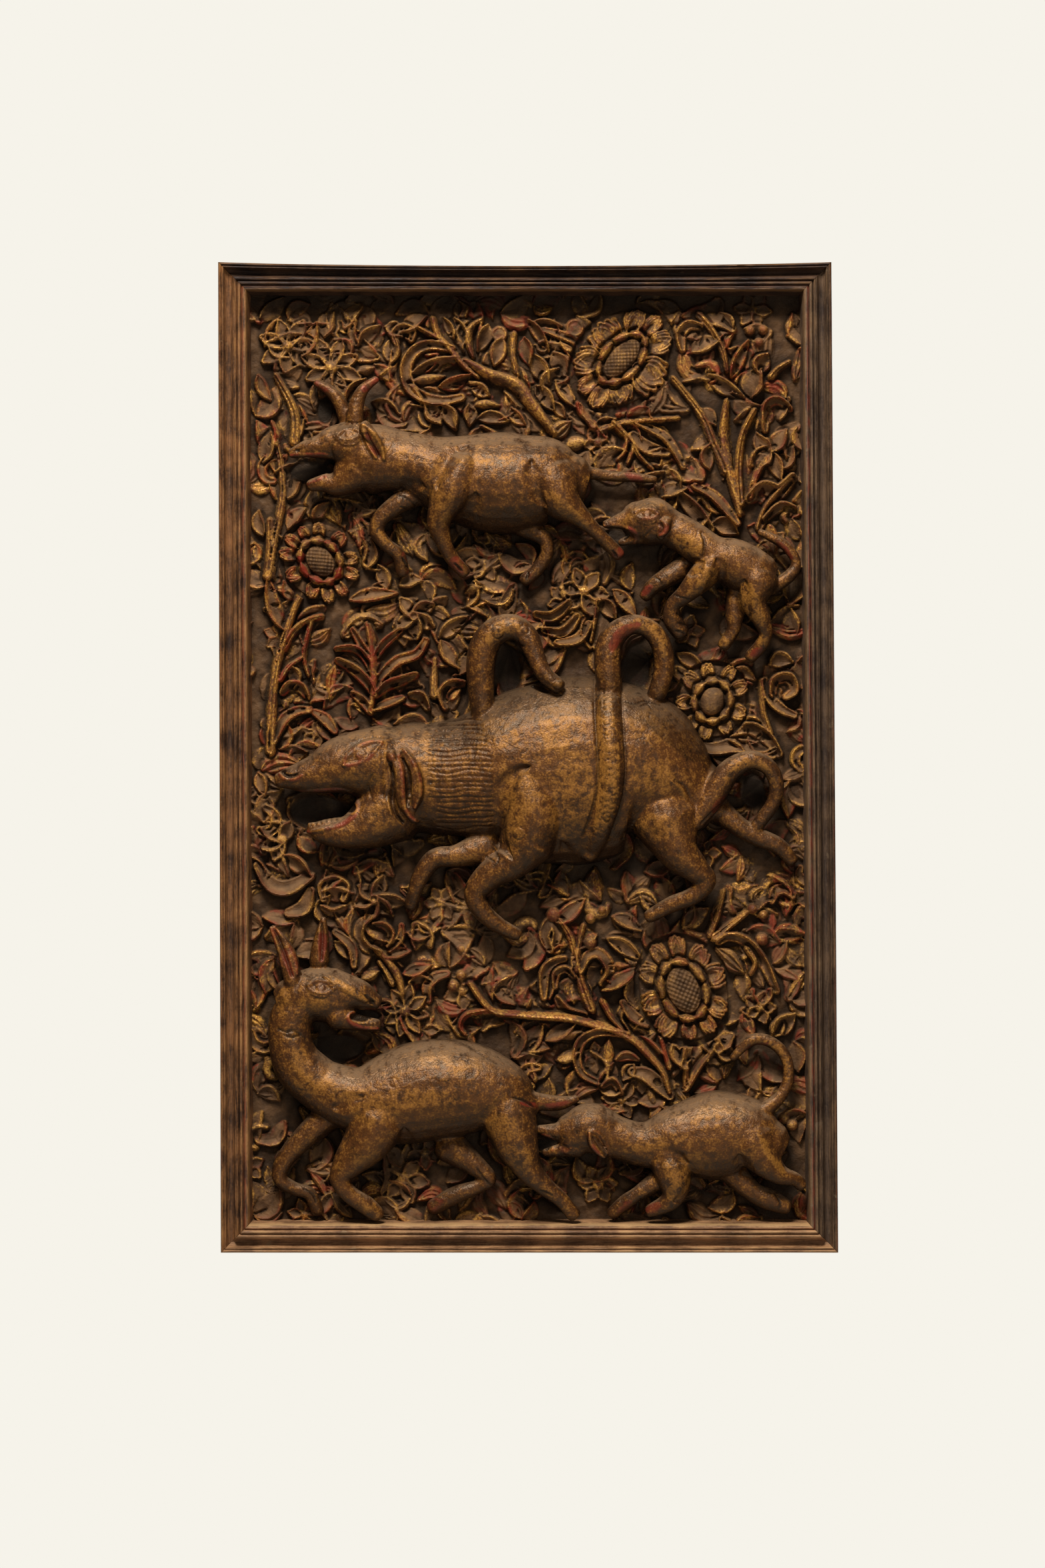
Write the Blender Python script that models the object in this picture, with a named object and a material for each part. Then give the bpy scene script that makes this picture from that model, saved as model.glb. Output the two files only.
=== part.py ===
"""A carved and gilded relief wall panel: beasts hunting among vines, in a mitred moulding."""

import math
import random

import bmesh
import bpy
from mathutils import Vector

# Driving dimensions, in metres.
TOP_WIDTH = 0.5947
BOTTOM_WIDTH = 0.5986
HEIGHT = 0.9600
LEAN = 0.0046  # how far the foot of the panel sits to the right of its head
BOARD_THICKNESS = 0.018
MOULDING_WIDTH = 0.0305
MOULDING_RISE = 0.034  # above the ground of the relief
REBATE_WIDTH = 0.016  # how far the planks run in behind the moulding
PLANK_JOINT_SHARE = 0.4714  # of the panel's width, from its left edge
RELIEF_RISE = 0.062  # the boar's flank, which stands out the most
FOLIAGE_RISE = 0.013
GAP = 0.0003

# The carver's drawing: a square grid laid over the field inside the moulding. All places below are in
# its squares.
GRID_LEFT = 374.5
GRID_RIGHT = 1208.0
GRID_TOP = 439.0
GRID_BOTTOM = 1833.0
BOAR_FLANK_CREST = 62.0  # the tallest crest, in the crests' own units: RELIEF_RISE at that number

CLEARANCE = 0.0012  # of the foliage from a figure's flanks
SUNK = 0.001  # how far the foot of each leaf runs into its plank

# Fineness of the solids.
VOXEL = 0.0015
RING_SIDES = 12
STEPS_PER_SPAN = 3


def lerp(a, b, share):
    return a + (b - a) * share


def corner(right, top, inset):
    """A corner of the panel's outline, moved in by inset from both of its edges."""
    left_foot = -BOTTOM_WIDTH / 2 + LEAN / 2
    right_foot = BOTTOM_WIDTH / 2 + LEAN / 2
    left_head = -TOP_WIDTH / 2 - LEAN / 2
    right_head = TOP_WIDTH / 2 - LEAN / 2
    foot, head = (right_foot, right_head) if right else (left_foot, left_head)
    slope = (head - foot) / HEIGHT
    z = (HEIGHT / 2 - inset) if top else (inset - HEIGHT / 2)
    side = -1 if right else 1
    x = lerp(foot, head, z / HEIGHT + 0.5) + side * inset * math.hypot(1, slope)
    return x, z


def placed(gx, gy):
    """The x and z of a place on the drawing, which is stretched to fit inside the moulding."""
    u = (gx - GRID_LEFT) / (GRID_RIGHT - GRID_LEFT)
    v = (GRID_BOTTOM - gy) / (GRID_BOTTOM - GRID_TOP)
    foot_left, low = corner(False, False, MOULDING_WIDTH)
    foot_right, _ = corner(True, False, MOULDING_WIDTH)
    head_left, high = corner(False, True, MOULDING_WIDTH)
    head_right, _ = corner(True, True, MOULDING_WIDTH)
    x = lerp(lerp(foot_left, foot_right, u), lerp(head_left, head_right, u), v)
    return x, lerp(low, high, v)


def square_size():
    """The size of one square of the drawing, in metres, once it is stretched over the field."""
    low_x, low_z = placed(GRID_LEFT, GRID_BOTTOM)
    high_x, high_z = placed(GRID_RIGHT, GRID_TOP)
    across = (high_x - low_x) / (GRID_RIGHT - GRID_LEFT)
    up = (high_z - low_z) / (GRID_BOTTOM - GRID_TOP)
    return math.sqrt(across * up)


GRID_SQUARE = square_size()


def crest_height(crest):
    """The height above the ground, in metres, of a crest given in the drawing's units."""
    return crest / BOAR_FLANK_CREST * RELIEF_RISE


def y_at(rise):
    """The y of a point that stands rise in front of the ground of the relief."""
    return -(BOARD_THICKNESS + rise)


def linked(name, bm):
    mesh = bpy.data.meshes.new(name)
    bmesh.ops.recalc_face_normals(bm, faces=bm.faces)
    bm.to_mesh(mesh)
    bm.free()
    thing = bpy.data.objects.new(name, mesh)
    bpy.context.scene.collection.objects.link(thing)
    return thing


def helper(name, bm):
    thing = linked(name, bm)
    thing.hide_render = True
    thing.display_type = "WIRE"
    return thing


def coloured(thing, colour, roughness, metallic):
    material = bpy.data.materials.new(thing.name)
    material.use_nodes = True
    shader = material.node_tree.nodes["Principled BSDF"]
    shader.inputs["Base Color"].default_value = (*colour, 1)
    shader.inputs["Roughness"].default_value = roughness
    shader.inputs["Metallic"].default_value = metallic
    thing.data.materials.append(material)


def prism(bm, outline, back, front):
    """A closed block of the outline, a loop of x and z, from y = back to y = front."""
    low = [bm.verts.new((x, back, z)) for x, z in outline]
    high = [bm.verts.new((x, front, z)) for x, z in outline]
    bm.faces.new(low)
    bm.faces.new(reversed(high))
    for i in range(len(outline)):
        j = (i + 1) % len(outline)
        bm.faces.new((low[j], low[i], high[i], high[j]))


# Figures. A limb is a row of stations: x, y, half width and crest, all on the drawing.


def smooth_row(stations, steps=STEPS_PER_SPAN):
    """The stations with further ones between them, on a Catmull-Rom curve."""
    row = []
    for i in range(len(stations) - 1):
        before = stations[max(i - 1, 0)]
        after = stations[min(i + 2, len(stations) - 1)]
        for k in range(steps):
            t = k / steps
            row.append(tuple(
                b + 0.5 * t * (c - a + t * (2 * a - 5 * b + 4 * c - d + t * (3 * b - 3 * c + d - a)))
                for a, b, c, d in zip(before, stations[i], stations[i + 1], after)
            ))
    row.append(stations[-1])
    return row


def section_of(station):
    """Centre, half width and half depth, in metres, of a limb's section at a station."""
    gx, gy, half_width, crest = station
    x, z = placed(gx, gy)
    wide = half_width * GRID_SQUARE
    rise = crest_height(crest)
    deep = min(wide, rise * 0.97)
    return Vector((x, y_at(rise - deep), z)), wide, deep


def add_limb(bm, stations):
    """A closed tube through the stations, its sections oval where it is wider than it is high."""
    row = [section_of(station) for station in smooth_row(stations)]
    rings = []
    for i, (centre, wide, deep) in enumerate(row):
        along = row[min(i + 1, len(row) - 1)][0] - row[max(i - 1, 0)][0]
        along.y = 0
        across = Vector((0, 1, 0)).cross(along).normalized()
        ring = []
        for k in range(RING_SIDES):
            angle = 2 * math.pi * k / RING_SIDES
            ring.append(bm.verts.new(
                centre + across * wide * math.cos(angle) + Vector((0, deep * math.sin(angle), 0))
            ))
        rings.append(ring)
    for ring, after in zip(rings, rings[1:]):
        for k in range(RING_SIDES):
            j = (k + 1) % RING_SIDES
            bm.faces.new((ring[k], ring[j], after[j], after[k]))
    for ring, (centre, wide, _), step in ((rings[0], row[0], 1), (rings[-1], row[-1], -1)):
        inner = row[1 if step == 1 else -2][0]
        outward = centre - inner
        outward.y = 0
        tip = bm.verts.new(centre + outward.normalized() * wide * 0.8)
        for k in range(RING_SIDES):
            bm.faces.new((ring[k], ring[(k + 1) % RING_SIDES], tip))


HORNED_BEAST = {
    "trunk": [(560, 690, 50, 46), (610, 692, 46, 48), (660, 708, 57, 53), (720, 720, 74, 57),
              (780, 722, 77, 57), (822, 714, 62, 54), (850, 720, 46, 46)],
    "skull": [(566, 682, 44, 44), (540, 684, 54, 46), (518, 684, 50, 44)],
    "upper jaw": [(518, 672, 34, 42), (492, 670, 23, 38), (464, 675, 14, 34), (441, 680, 7, 30)],
    "lower jaw": [(524, 712, 32, 38), (500, 723, 17, 34), (480, 726, 9, 30), (463, 728, 5, 27)],
    "near horn": [(532, 632, 10, 36), (537, 604, 9, 36), (547, 584, 7, 34), (566, 568, 4, 32)],
    "far horn": [(524, 632, 8, 24), (512, 603, 7, 22), (494, 584, 6, 20), (476, 573, 4, 18)],
    "ear": [(549, 640, 8, 49), (560, 656, 9, 52), (568, 670, 7, 50), (576, 684, 4, 47)],
    "near foreleg": [(694, 706, 32, 60), (679, 738, 33, 62), (664, 768, 21, 56), (660, 790, 17, 50),
                     (669, 818, 11, 42), (680, 838, 10, 36), (697, 857, 7, 30)],
    "far foreleg": [(626, 738, 20, 32), (596, 756, 15, 32), (571, 777, 12, 30), (566, 797, 11, 28),
                    (580, 816, 9, 26), (598, 831, 9, 24), (604, 856, 6, 20)],
    "near hind leg": [(832, 722, 42, 58), (846, 752, 30, 58), (872, 775, 16, 50), (896, 797, 10, 42),
                      (916, 816, 8, 36), (930, 830, 6, 32)],
    "far hind leg": [(786, 786, 18, 24), (818, 806, 11, 24), (822, 830, 9, 22), (806, 855, 7, 20),
                     (790, 868, 5, 18)],
    "tail": [(850, 700, 12, 30), (890, 708, 9, 26), (920, 713, 7, 24), (950, 714, 7, 24),
             (986, 718, 4, 22)],
}

UPPER_HOUND = {
    "trunk": [(1018, 796, 28, 44), (1042, 810, 28, 46), (1072, 832, 30, 48), (1104, 844, 37, 50),
              (1138, 860, 35, 50)],
    "skull": [(1010, 790, 27, 42), (984, 782, 37, 46), (962, 780, 30, 44)],
    "upper jaw": [(962, 774, 23, 42), (940, 780, 14, 38), (912, 786, 5, 34)],
    "lower jaw": [(968, 800, 16, 36), (950, 808, 8, 32), (935, 813, 4, 29)],
    "ear": [(1004, 782, 5, 48), (1000, 794, 6, 50), (994, 806, 4, 48)],
    "near foreleg": [(1072, 848, 20, 52), (1056, 866, 21, 52), (1030, 892, 14, 46), (1012, 908, 11, 40),
                     (1012, 928, 14, 36), (1022, 946, 13, 32)],
    "far foreleg": [(1030, 850, 18, 28), (1004, 866, 15, 30), (984, 878, 12, 28), (972, 892, 9, 24)],
    "near hind leg": [(1140, 872, 30, 54), (1134, 902, 20, 50), (1146, 930, 14, 44), (1152, 950, 9, 38),
                      (1146, 966, 7, 34), (1130, 984, 6, 28)],
    "far hind leg": [(1112, 888, 18, 28), (1106, 922, 14, 28), (1104, 944, 8, 26), (1090, 966, 8, 24)],
    "tail": [(1160, 882, 11, 32), (1188, 864, 9, 30), (1199, 846, 7, 28), (1192, 828, 7, 28),
             (1175, 812, 7, 28), (1146, 798, 4, 26)],
}

BOAR = {
    "trunk": [(640, 1168, 84, 47), (700, 1166, 95, 52), (760, 1160, 122, 59), (830, 1158, 142, 62),
              (900, 1152, 140, 62), (960, 1152, 118, 59), (1010, 1174, 86, 50), (1040, 1192, 58, 40)],
    "skull": [(650, 1168, 82, 46), (592, 1164, 88, 48), (552, 1162, 76, 47)],
    "upper jaw": [(545, 1140, 54, 45), (500, 1147, 38, 42), (460, 1160, 24, 38), (425, 1167, 16, 34),
                  (413, 1169, 9, 32)],
    "lower jaw": [(560, 1222, 46, 42), (515, 1244, 23, 38), (488, 1250, 13, 34), (464, 1250, 6, 31)],
    "inner ear lobe": [(587, 1130, 6, 50), (597, 1156, 7, 54), (600, 1185, 8, 54), (607, 1210, 7, 52),
                       (620, 1230, 4, 49)],
    "outer ear lobe": [(606, 1130, 5, 50), (618, 1150, 8, 53), (625, 1175, 10, 54), (624, 1200, 8, 52),
                       (617, 1218, 4, 48)],
    "shoulder": [(790, 1180, 38, 64), (800, 1214, 48, 67), (792, 1250, 46, 64)],
    "near foreleg": [(790, 1262, 44, 62), (768, 1292, 28, 54), (735, 1312, 22, 48), (712, 1340, 17, 43),
                     (722, 1366, 14, 39), (745, 1387, 12, 34), (773, 1402, 7, 29)],
    "far foreleg": [(728, 1272, 30, 32), (685, 1284, 17, 32), (652, 1288, 15, 30), (630, 1314, 13, 27),
                    (620, 1340, 10, 23), (614, 1358, 6, 18)],
    "near hind leg": [(1000, 1228, 56, 54), (1018, 1276, 32, 52), (1044, 1304, 21, 46),
                      (1060, 1322, 15, 41), (1040, 1344, 13, 37), (1008, 1357, 12, 31), (975, 1375, 8, 26)],
    "far hind leg": [(1070, 1206, 22, 26), (1108, 1238, 15, 27), (1140, 1256, 14, 27), (1170, 1269, 12, 26),
                     (1190, 1290, 8, 22)],
    "tail loop": [(1046, 1232, 13, 40), (1062, 1208, 17, 42), (1080, 1178, 19, 43), (1100, 1153, 17, 43),
                  (1130, 1140, 14, 42), (1157, 1153, 12, 40), (1167, 1180, 11, 36), (1160, 1208, 10, 31),
                  (1136, 1240, 10, 27)],
    "serpent left loop": [(724, 1066, 16, 34), (722, 1030, 18, 34), (722, 995, 19, 38), (729, 964, 20, 40),
                          (748, 943, 20, 42), (773, 939, 19, 42), (793, 957, 17, 42), (805, 985, 14, 43),
                          (817, 1010, 12, 45), (838, 1028, 11, 47)],
    "serpent right loop": [(916, 1030, 19, 44), (913, 985, 20, 43), (920, 958, 19, 42), (940, 940, 16, 42),
                           (962, 937, 14, 40), (985, 951, 15, 38), (997, 976, 15, 36), (998, 1006, 15, 33),
                           (988, 1040, 14, 32)],
}
SERPENT_BAND = [(913, 1016, 18), (914, 1040, 19), (914, 1070, 19), (916, 1110, 19), (918, 1150, 20),
                (915, 1190, 20), (907, 1222, 19), (895, 1255, 17), (884, 1280, 14)]
SERPENT_BAND_STANDS_OUT = 7.0
FLANK_MIDDLE = 1152.0
FLANK_HALF = 141.0

DEER = {
    "trunk": [(482, 1632, 41, 46), (528, 1650, 50, 52), (580, 1650, 70, 56), (640, 1638, 77, 58),
              (700, 1635, 71, 57), (748, 1644, 54, 53), (772, 1662, 38, 46)],
    "neck": [(452, 1500, 30, 42), (434, 1530, 33, 43), (433, 1566, 33, 43), (447, 1602, 38, 44),
             (484, 1634, 40, 45)],
    "skull": [(448, 1496, 34, 44), (474, 1488, 37, 46), (500, 1490, 31, 45)],
    "upper jaw": [(498, 1487, 30, 44), (522, 1494, 21, 42), (548, 1499, 14, 38), (567, 1503, 9, 35)],
    "lower jaw": [(488, 1516, 22, 38), (518, 1532, 12, 35), (542, 1539, 8, 32), (560, 1540, 5, 30)],
    "near ear": [(440, 1474, 11, 40), (431, 1442, 14, 38), (423, 1416, 11, 36), (409, 1390, 4, 33)],
    "far ear": [(477, 1456, 12, 28), (482, 1420, 12, 26), (481, 1397, 8, 24), (480, 1380, 4, 22)],
    "near foreleg": [(566, 1680, 44, 58), (546, 1714, 36, 56), (520, 1745, 24, 50), (508, 1768, 16, 45),
                     (520, 1790, 13, 41), (545, 1808, 14, 37), (561, 1822, 12, 32)],
    "far foreleg": [(492, 1674, 24, 30), (448, 1713, 17, 28), (421, 1745, 13, 26), (416, 1770, 11, 24),
                    (437, 1785, 9, 22), (460, 1793, 9, 21), (472, 1818, 7, 18)],
    "near hind leg": [(760, 1672, 44, 56), (774, 1718, 33, 54), (791, 1755, 20, 47), (815, 1780, 14, 41),
                      (840, 1801, 11, 36), (857, 1822, 11, 31)],
    "far hind leg": [(672, 1722, 26, 26), (712, 1752, 16, 26), (731, 1771, 11, 25), (714, 1782, 10, 23),
                     (680, 1795, 13, 23), (648, 1813, 12, 20)],
    "tail": [(772, 1640, 12, 36), (800, 1650, 9, 32), (835, 1655, 8, 29), (862, 1650, 5, 26)],
}

LOWER_HOUND = {
    "trunk": [(914, 1704, 32, 42), (962, 1718, 34, 44), (1012, 1712, 52, 49), (1070, 1706, 68, 52),
              (1118, 1704, 58, 51), (1146, 1716, 40, 46)],
    "skull": [(914, 1702, 32, 42), (884, 1694, 39, 45), (860, 1700, 32, 43)],
    "upper jaw": [(858, 1698, 22, 40), (832, 1698, 13, 36), (808, 1695, 6, 32)],
    "lower jaw": [(862, 1718, 20, 38), (838, 1726, 10, 34), (816, 1730, 5, 30)],
    "ear": [(884, 1700, 5, 48), (890, 1716, 7, 49), (904, 1730, 5, 46)],
    "near foreleg": [(1000, 1740, 28, 50), (1010, 1776, 24, 48), (1002, 1802, 15, 40), (974, 1817, 9, 33)],
    "far foreleg": [(1000, 1764, 22, 30), (958, 1790, 11, 29), (936, 1805, 11, 27), (917, 1822, 7, 23)],
    "near hind leg": [(1126, 1712, 42, 54), (1148, 1744, 24, 50), (1168, 1762, 15, 43),
                      (1190, 1769, 10, 37), (1200, 1778, 6, 32)],
    "far hind leg": [(1090, 1752, 22, 28), (1126, 1788, 15, 29), (1152, 1801, 16, 29),
                     (1176, 1811, 12, 27)],
    "tail": [(1132, 1674, 14, 36), (1166, 1650, 9, 32), (1182, 1620, 8, 30), (1178, 1586, 8, 28),
             (1156, 1564, 8, 28), (1128, 1561, 8, 27), (1099, 1588, 4, 24)],
}

EYES = {
    "horned_beast": (525, 652, 10, 49),
    "upper_hound": (974, 771, 9, 48),
    "boar_with_serpent": (541, 1132, 14, 50),
    "deer_looking_back": (478, 1482, 11, 49),
    "lower_hound": (847, 1716, 8, 44),
}


def serpent_band():
    """The serpent's body across the boar, which follows the round of the flank."""
    row = []
    for gx, gy, half_width in SERPENT_BAND:
        share = (gy - FLANK_MIDDLE) / FLANK_HALF
        flank = BOAR_FLANK_CREST * math.sqrt(max(1 - share * share, 0.02))
        row.append((gx, gy, half_width, flank + SERPENT_BAND_STANDS_OUT))
    return row


def cut_flat_behind(thing):
    """Cuts away what reaches into the planks, so that the figure sits flat on the ground of the relief."""
    reach = 0.2
    bm = bmesh.new()
    x0, z0 = corner(False, False, MOULDING_WIDTH + GAP)
    x1, z1 = corner(True, True, MOULDING_WIDTH + GAP)
    outline = [
        (x0, z0),
        (corner(True, False, MOULDING_WIDTH + GAP)[0], z0),
        (x1, z1),
        (corner(False, True, MOULDING_WIDTH + GAP)[0], z1),
    ]
    prism(bm, outline, y_at(GAP), y_at(reach))
    room = helper("room for " + thing.name.replace("_", " "), bm)
    modifier = thing.modifiers.new("flat back", "BOOLEAN")
    modifier.operation = "INTERSECT"
    modifier.solver = "EXACT"
    modifier.object = room


def figure(name, limbs, triangles, colour):
    """One carved animal, its limbs run together into a single body."""
    bm = bmesh.new()
    for stations in limbs:
        add_limb(bm, stations)
    gx, gy, half, crest = EYES[name]
    lid = half * 0.45
    eye = [(gx - half, gy, lid, crest - 3), (gx, gy, half * 0.7, crest), (gx + half, gy, lid, crest - 3)]
    add_limb(bm, eye)
    thing = linked(name, bm)
    fused = thing.modifiers.new("fused", "REMESH")
    fused.mode = "VOXEL"
    fused.voxel_size = VOXEL
    rounded = thing.modifiers.new("rounded joins", "SMOOTH")
    rounded.factor = 0.5
    rounded.iterations = 5
    facets = thing.modifiers.new("facets", "DECIMATE")
    depsgraph = bpy.context.evaluated_depsgraph_get()
    held = thing.evaluated_get(depsgraph).to_mesh()
    held.calc_loop_triangles()
    facets.ratio = min(triangles / len(held.loop_triangles), 1)
    thing.evaluated_get(depsgraph).to_mesh_clear()
    cut_flat_behind(thing)
    thing.data.shade_smooth()
    coloured(thing, colour, 0.55, 0.25)
    return thing


# Foliage on the planks.


def limb_axes():
    """The discs that the figures take up where they come down near the ground, as x, z and half width."""
    taken = []
    for limbs in (HORNED_BEAST, UPPER_HOUND, BOAR, DEER, LOWER_HOUND):
        for stations in limbs.values():
            row = smooth_row(stations)
            for station in row:
                centre, wide, deep = section_of(station)
                if -centre.y - deep < BOARD_THICKNESS + FOLIAGE_RISE * 1.5:
                    taken.append((centre.x, centre.z, wide))
    return taken


def clear_of(taken, x, z, radius):
    """Whether a disc keeps its distance from every figure and from all foliage placed so far."""
    return all(math.hypot(x - tx, z - tz) > wide + radius + CLEARANCE for tx, tz, wide in taken)


def inside_moulding(x, z, radius):
    """Whether a disc stays inside the moulding's inner edge."""
    inset = MOULDING_WIDTH + radius + CLEARANCE
    foot_left, low = corner(False, False, inset)
    foot_right, _ = corner(True, False, inset)
    head_left, high = corner(False, True, inset)
    head_right, _ = corner(True, True, inset)
    if not low < z < high:
        return False
    share = (z - low) / (high - low)
    return lerp(foot_left, head_left, share) < x < lerp(foot_right, head_right, share)


def add_leaf(bm, x, z, heading, length, width, rise, taken):
    """A pointed leaf with a ridge. Returns False where a figure or other foliage stands in its way."""
    ahead = Vector((math.cos(heading), math.sin(heading)))
    aside = Vector((-ahead.y, ahead.x))
    start = Vector((x, z))
    discs = []
    for share, breadth in ((0.08, 0.15), (0.3, 0.42), (0.45, 0.5), (0.65, 0.35), (0.85, 0.15), (1.0, 0.0)):
        spot = start + ahead * length * share
        disc = (spot.x, spot.y, width * breadth)
        if not clear_of(taken, *disc) or not inside_moulding(*disc):
            return False
        discs.append(disc)
    taken += discs
    outline = [start, start + ahead * length * 0.4 + aside * width * 0.5, start + ahead * length]
    outline.append(start + ahead * length * 0.4 - aside * width * 0.5)
    base, left, tip, right = (bm.verts.new((p.x, y_at(-SUNK), p.y)) for p in outline)
    ridge = [start + ahead * length * share for share in (0.25, 0.75)]
    near, far = (bm.verts.new((p.x, y_at(rise), p.y)) for p in ridge)
    bm.faces.new((base, right, tip, left))
    bm.faces.new((base, left, near))
    bm.faces.new((left, tip, far))
    bm.faces.new((left, far, near))
    bm.faces.new((right, base, near))
    bm.faces.new((tip, right, far))
    bm.faces.new((right, near, far))
    return True


def add_flower(bm, spec, taken):
    """A flower: a star of petals round a raised seed head. A petal stops short of what is in its way."""
    gx, gy, wide, tall, turn, reach, petals = spec
    x, z = placed(gx, gy)
    turn = math.radians(turn)
    rows = [[], [], [], []]
    longest = 0.0
    for k in range(2 * petals):
        angle = math.pi * k / petals
        px, pz = wide * math.cos(angle), tall * math.sin(angle)
        head = Vector((px * math.cos(turn) - pz * math.sin(turn), px * math.sin(turn) + pz * math.cos(turn)))
        head *= GRID_SQUARE
        radius = head.length
        full = reach * GRID_SQUARE * (1.0 if k % 2 else 0.72)
        tip = max(full, radius * 1.25)
        while tip > radius * 1.25:
            spot = head.normalized() * tip
            if clear_of(taken, x + spot.x, z + spot.y, 0.0) and inside_moulding(x + spot.x, z + spot.y, 0.0):
                break
            tip *= 0.92
        tip = max(tip, radius * 1.25)
        longest = max(longest, tip)
        away = head.normalized()
        shoulder = lerp(radius, tip, 0.7)
        for row, out, rise in (
            (rows[0], tip, -SUNK),
            (rows[1], shoulder, FOLIAGE_RISE * 0.75),
            (rows[2], radius * 1.1, FOLIAGE_RISE * 0.55),
            (rows[3], radius * 0.8, FOLIAGE_RISE * 1.1),
        ):
            row.append(bm.verts.new((x + away.x * out, y_at(rise), z + away.y * out)))
    bm.faces.new(rows[0])
    bm.faces.new(rows[3])
    for row, after in zip(rows, rows[1:]):
        for k in range(len(row)):
            j = (k + 1) % len(row)
            bm.faces.new((row[k], row[j], after[j], after[k]))
    taken.append((x, z, longest))


# Each flower: x, y, seed head's half width and half height, turn in degrees, reach of the petals, and
# number of petals.
FLOWERS = [
    (479, 839, 31, 35, 0, 61, 10),
    (943, 536, 46, 28, 35, 76, 10),
    (1069, 1050, 26, 32, -20, 55, 10),
    (1023, 1485, 34, 49, -25, 74, 10),
    (431, 515, 12, 12, 0, 43, 7),
    (488, 548, 12, 12, 0, 46, 7),
    (621, 921, 10, 10, 0, 38, 6),
    (879, 884, 10, 10, 0, 38, 5),
    (901, 661, 6, 6, 0, 22, 5),
    (1149, 600, 9, 9, 0, 28, 5),
    (1164, 673, 7, 7, 0, 28, 6),
    (460, 1065, 6, 6, 0, 40, 6),
    (420, 1260, 9, 9, 0, 38, 6),
    (559, 1350, 9, 9, 0, 38, 6),
    (605, 1518, 9, 9, 0, 40, 8),
    (829, 1373, 8, 8, 0, 26, 5),
    (1141, 1513, 7, 7, 0, 24, 5),
    (601, 1771, 8, 8, 0, 28, 5),
    (895, 1779, 7, 7, 0, 25, 5),
    (896, 1374, 9, 9, 0, 24, 5),
]

# Stems, from root to tip, and the half width at the root.
STEMS = [
    ([(399, 860), (420, 737), (414, 664), (432, 615), (442, 560)], 6),
    ([(402, 1129), (408, 1013), (432, 921)], 5),
    ([(555, 1062), (562, 1010), (561, 955)], 5),
    ([(828, 634), (739, 560), (677, 517), (634, 480)], 8),
    ([(1124, 790), (1090, 735), (1040, 690), (1010, 640)], 5),
    ([(1128, 785), (1135, 720), (1128, 640)], 5),
    ([(1136, 782), (1170, 735), (1190, 690)], 4),
    ([(1014, 1632), (983, 1583), (922, 1543), (861, 1525), (775, 1522), (712, 1490)], 8),
    ([(910, 1528), (885, 1497), (864, 1436), (843, 1400)], 5),
    ([(1026, 1628), (1035, 1595), (1060, 1560)], 5),
    ([(1069, 1405), (1095, 1388), (1125, 1372)], 4),
    ([(600, 1500), (575, 1440), (560, 1400)], 5),
]
LEAF_SPACING = 40.0
LEAF_LENGTH = 52.0
LEAF_WIDTH = 22.0
LEAF_SPREAD = math.radians(48)
GROUND_LEAF_SPACING = 55.0
GROUND_LEAF_TRIES = [
    (length, math.radians(turn)) for length in (70, 56, 42) for turn in (0, 50, -50, 100, -100, 150)
]


def add_ridge(bm, spots):
    """A stem of three-sided section along the spots, which are x, z and half width."""
    rows = []
    for i, (x, z, half) in enumerate(spots):
        bx, bz, _ = spots[max(i - 1, 0)]
        ax, az, _ = spots[min(i + 1, len(spots) - 1)]
        run = math.hypot(ax - bx, az - bz)
        sx, sz = -(az - bz) / run * half, (ax - bx) / run * half
        rows.append((
            bm.verts.new((x + sx, y_at(-SUNK), z + sz)),
            bm.verts.new((x, y_at(FOLIAGE_RISE * 0.8), z)),
            bm.verts.new((x - sx, y_at(-SUNK), z - sz)),
        ))
    for row, after in zip(rows, rows[1:]):
        for k in range(3):
            j = (k + 1) % 3
            bm.faces.new((row[k], row[j], after[j], after[k]))
    bm.faces.new(rows[0])
    bm.faces.new(reversed(rows[-1]))


def add_stem(bm, route, half_width, taken):
    """A stem, left out under a figure. Returns its spots: x, z, half width and heading."""
    row = smooth_row([(gx, gy, half_width, 0) for gx, gy in route], 2)
    spots = []
    for i, (gx, gy, half, _) in enumerate(row):
        x, z = placed(gx, gy)
        spots.append((x, z, half * GRID_SQUARE * lerp(1.0, 0.5, i / (len(row) - 1))))
    stretch = []
    stretches = [stretch]
    for spot in spots:
        if clear_of(taken, *spot) and inside_moulding(*spot):
            stretch.append(spot)
        else:
            stretch = []
            stretches.append(stretch)
    for stretch in stretches:
        if len(stretch) > 1:
            add_ridge(bm, stretch)
    return [stretch for stretch in stretches if len(stretch) > 1]


def add_stem_leaves(bm, stretches, taken):
    """Leaves on either side of a stem in turn."""
    side = 1
    walked = 0.0
    for stretch in stretches:
        for (x0, z0, _), (x1, z1, radius) in zip(stretch, stretch[1:]):
            walked += math.hypot(x1 - x0, z1 - z0)
            if walked < LEAF_SPACING * GRID_SQUARE:
                continue
            walked = 0.0
            side = -side
            heading = math.atan2(z1 - z0, x1 - x0)
            spread = heading + side * LEAF_SPREAD
            away = (radius + 2 * CLEARANCE) / math.sin(LEAF_SPREAD)
            x, z = x1 + away * math.cos(spread), z1 + away * math.sin(spread)
            length, width = LEAF_LENGTH * GRID_SQUARE, LEAF_WIDTH * GRID_SQUARE
            add_leaf(bm, x, z, spread, length, width, FOLIAGE_RISE * 0.8, taken)


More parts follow.
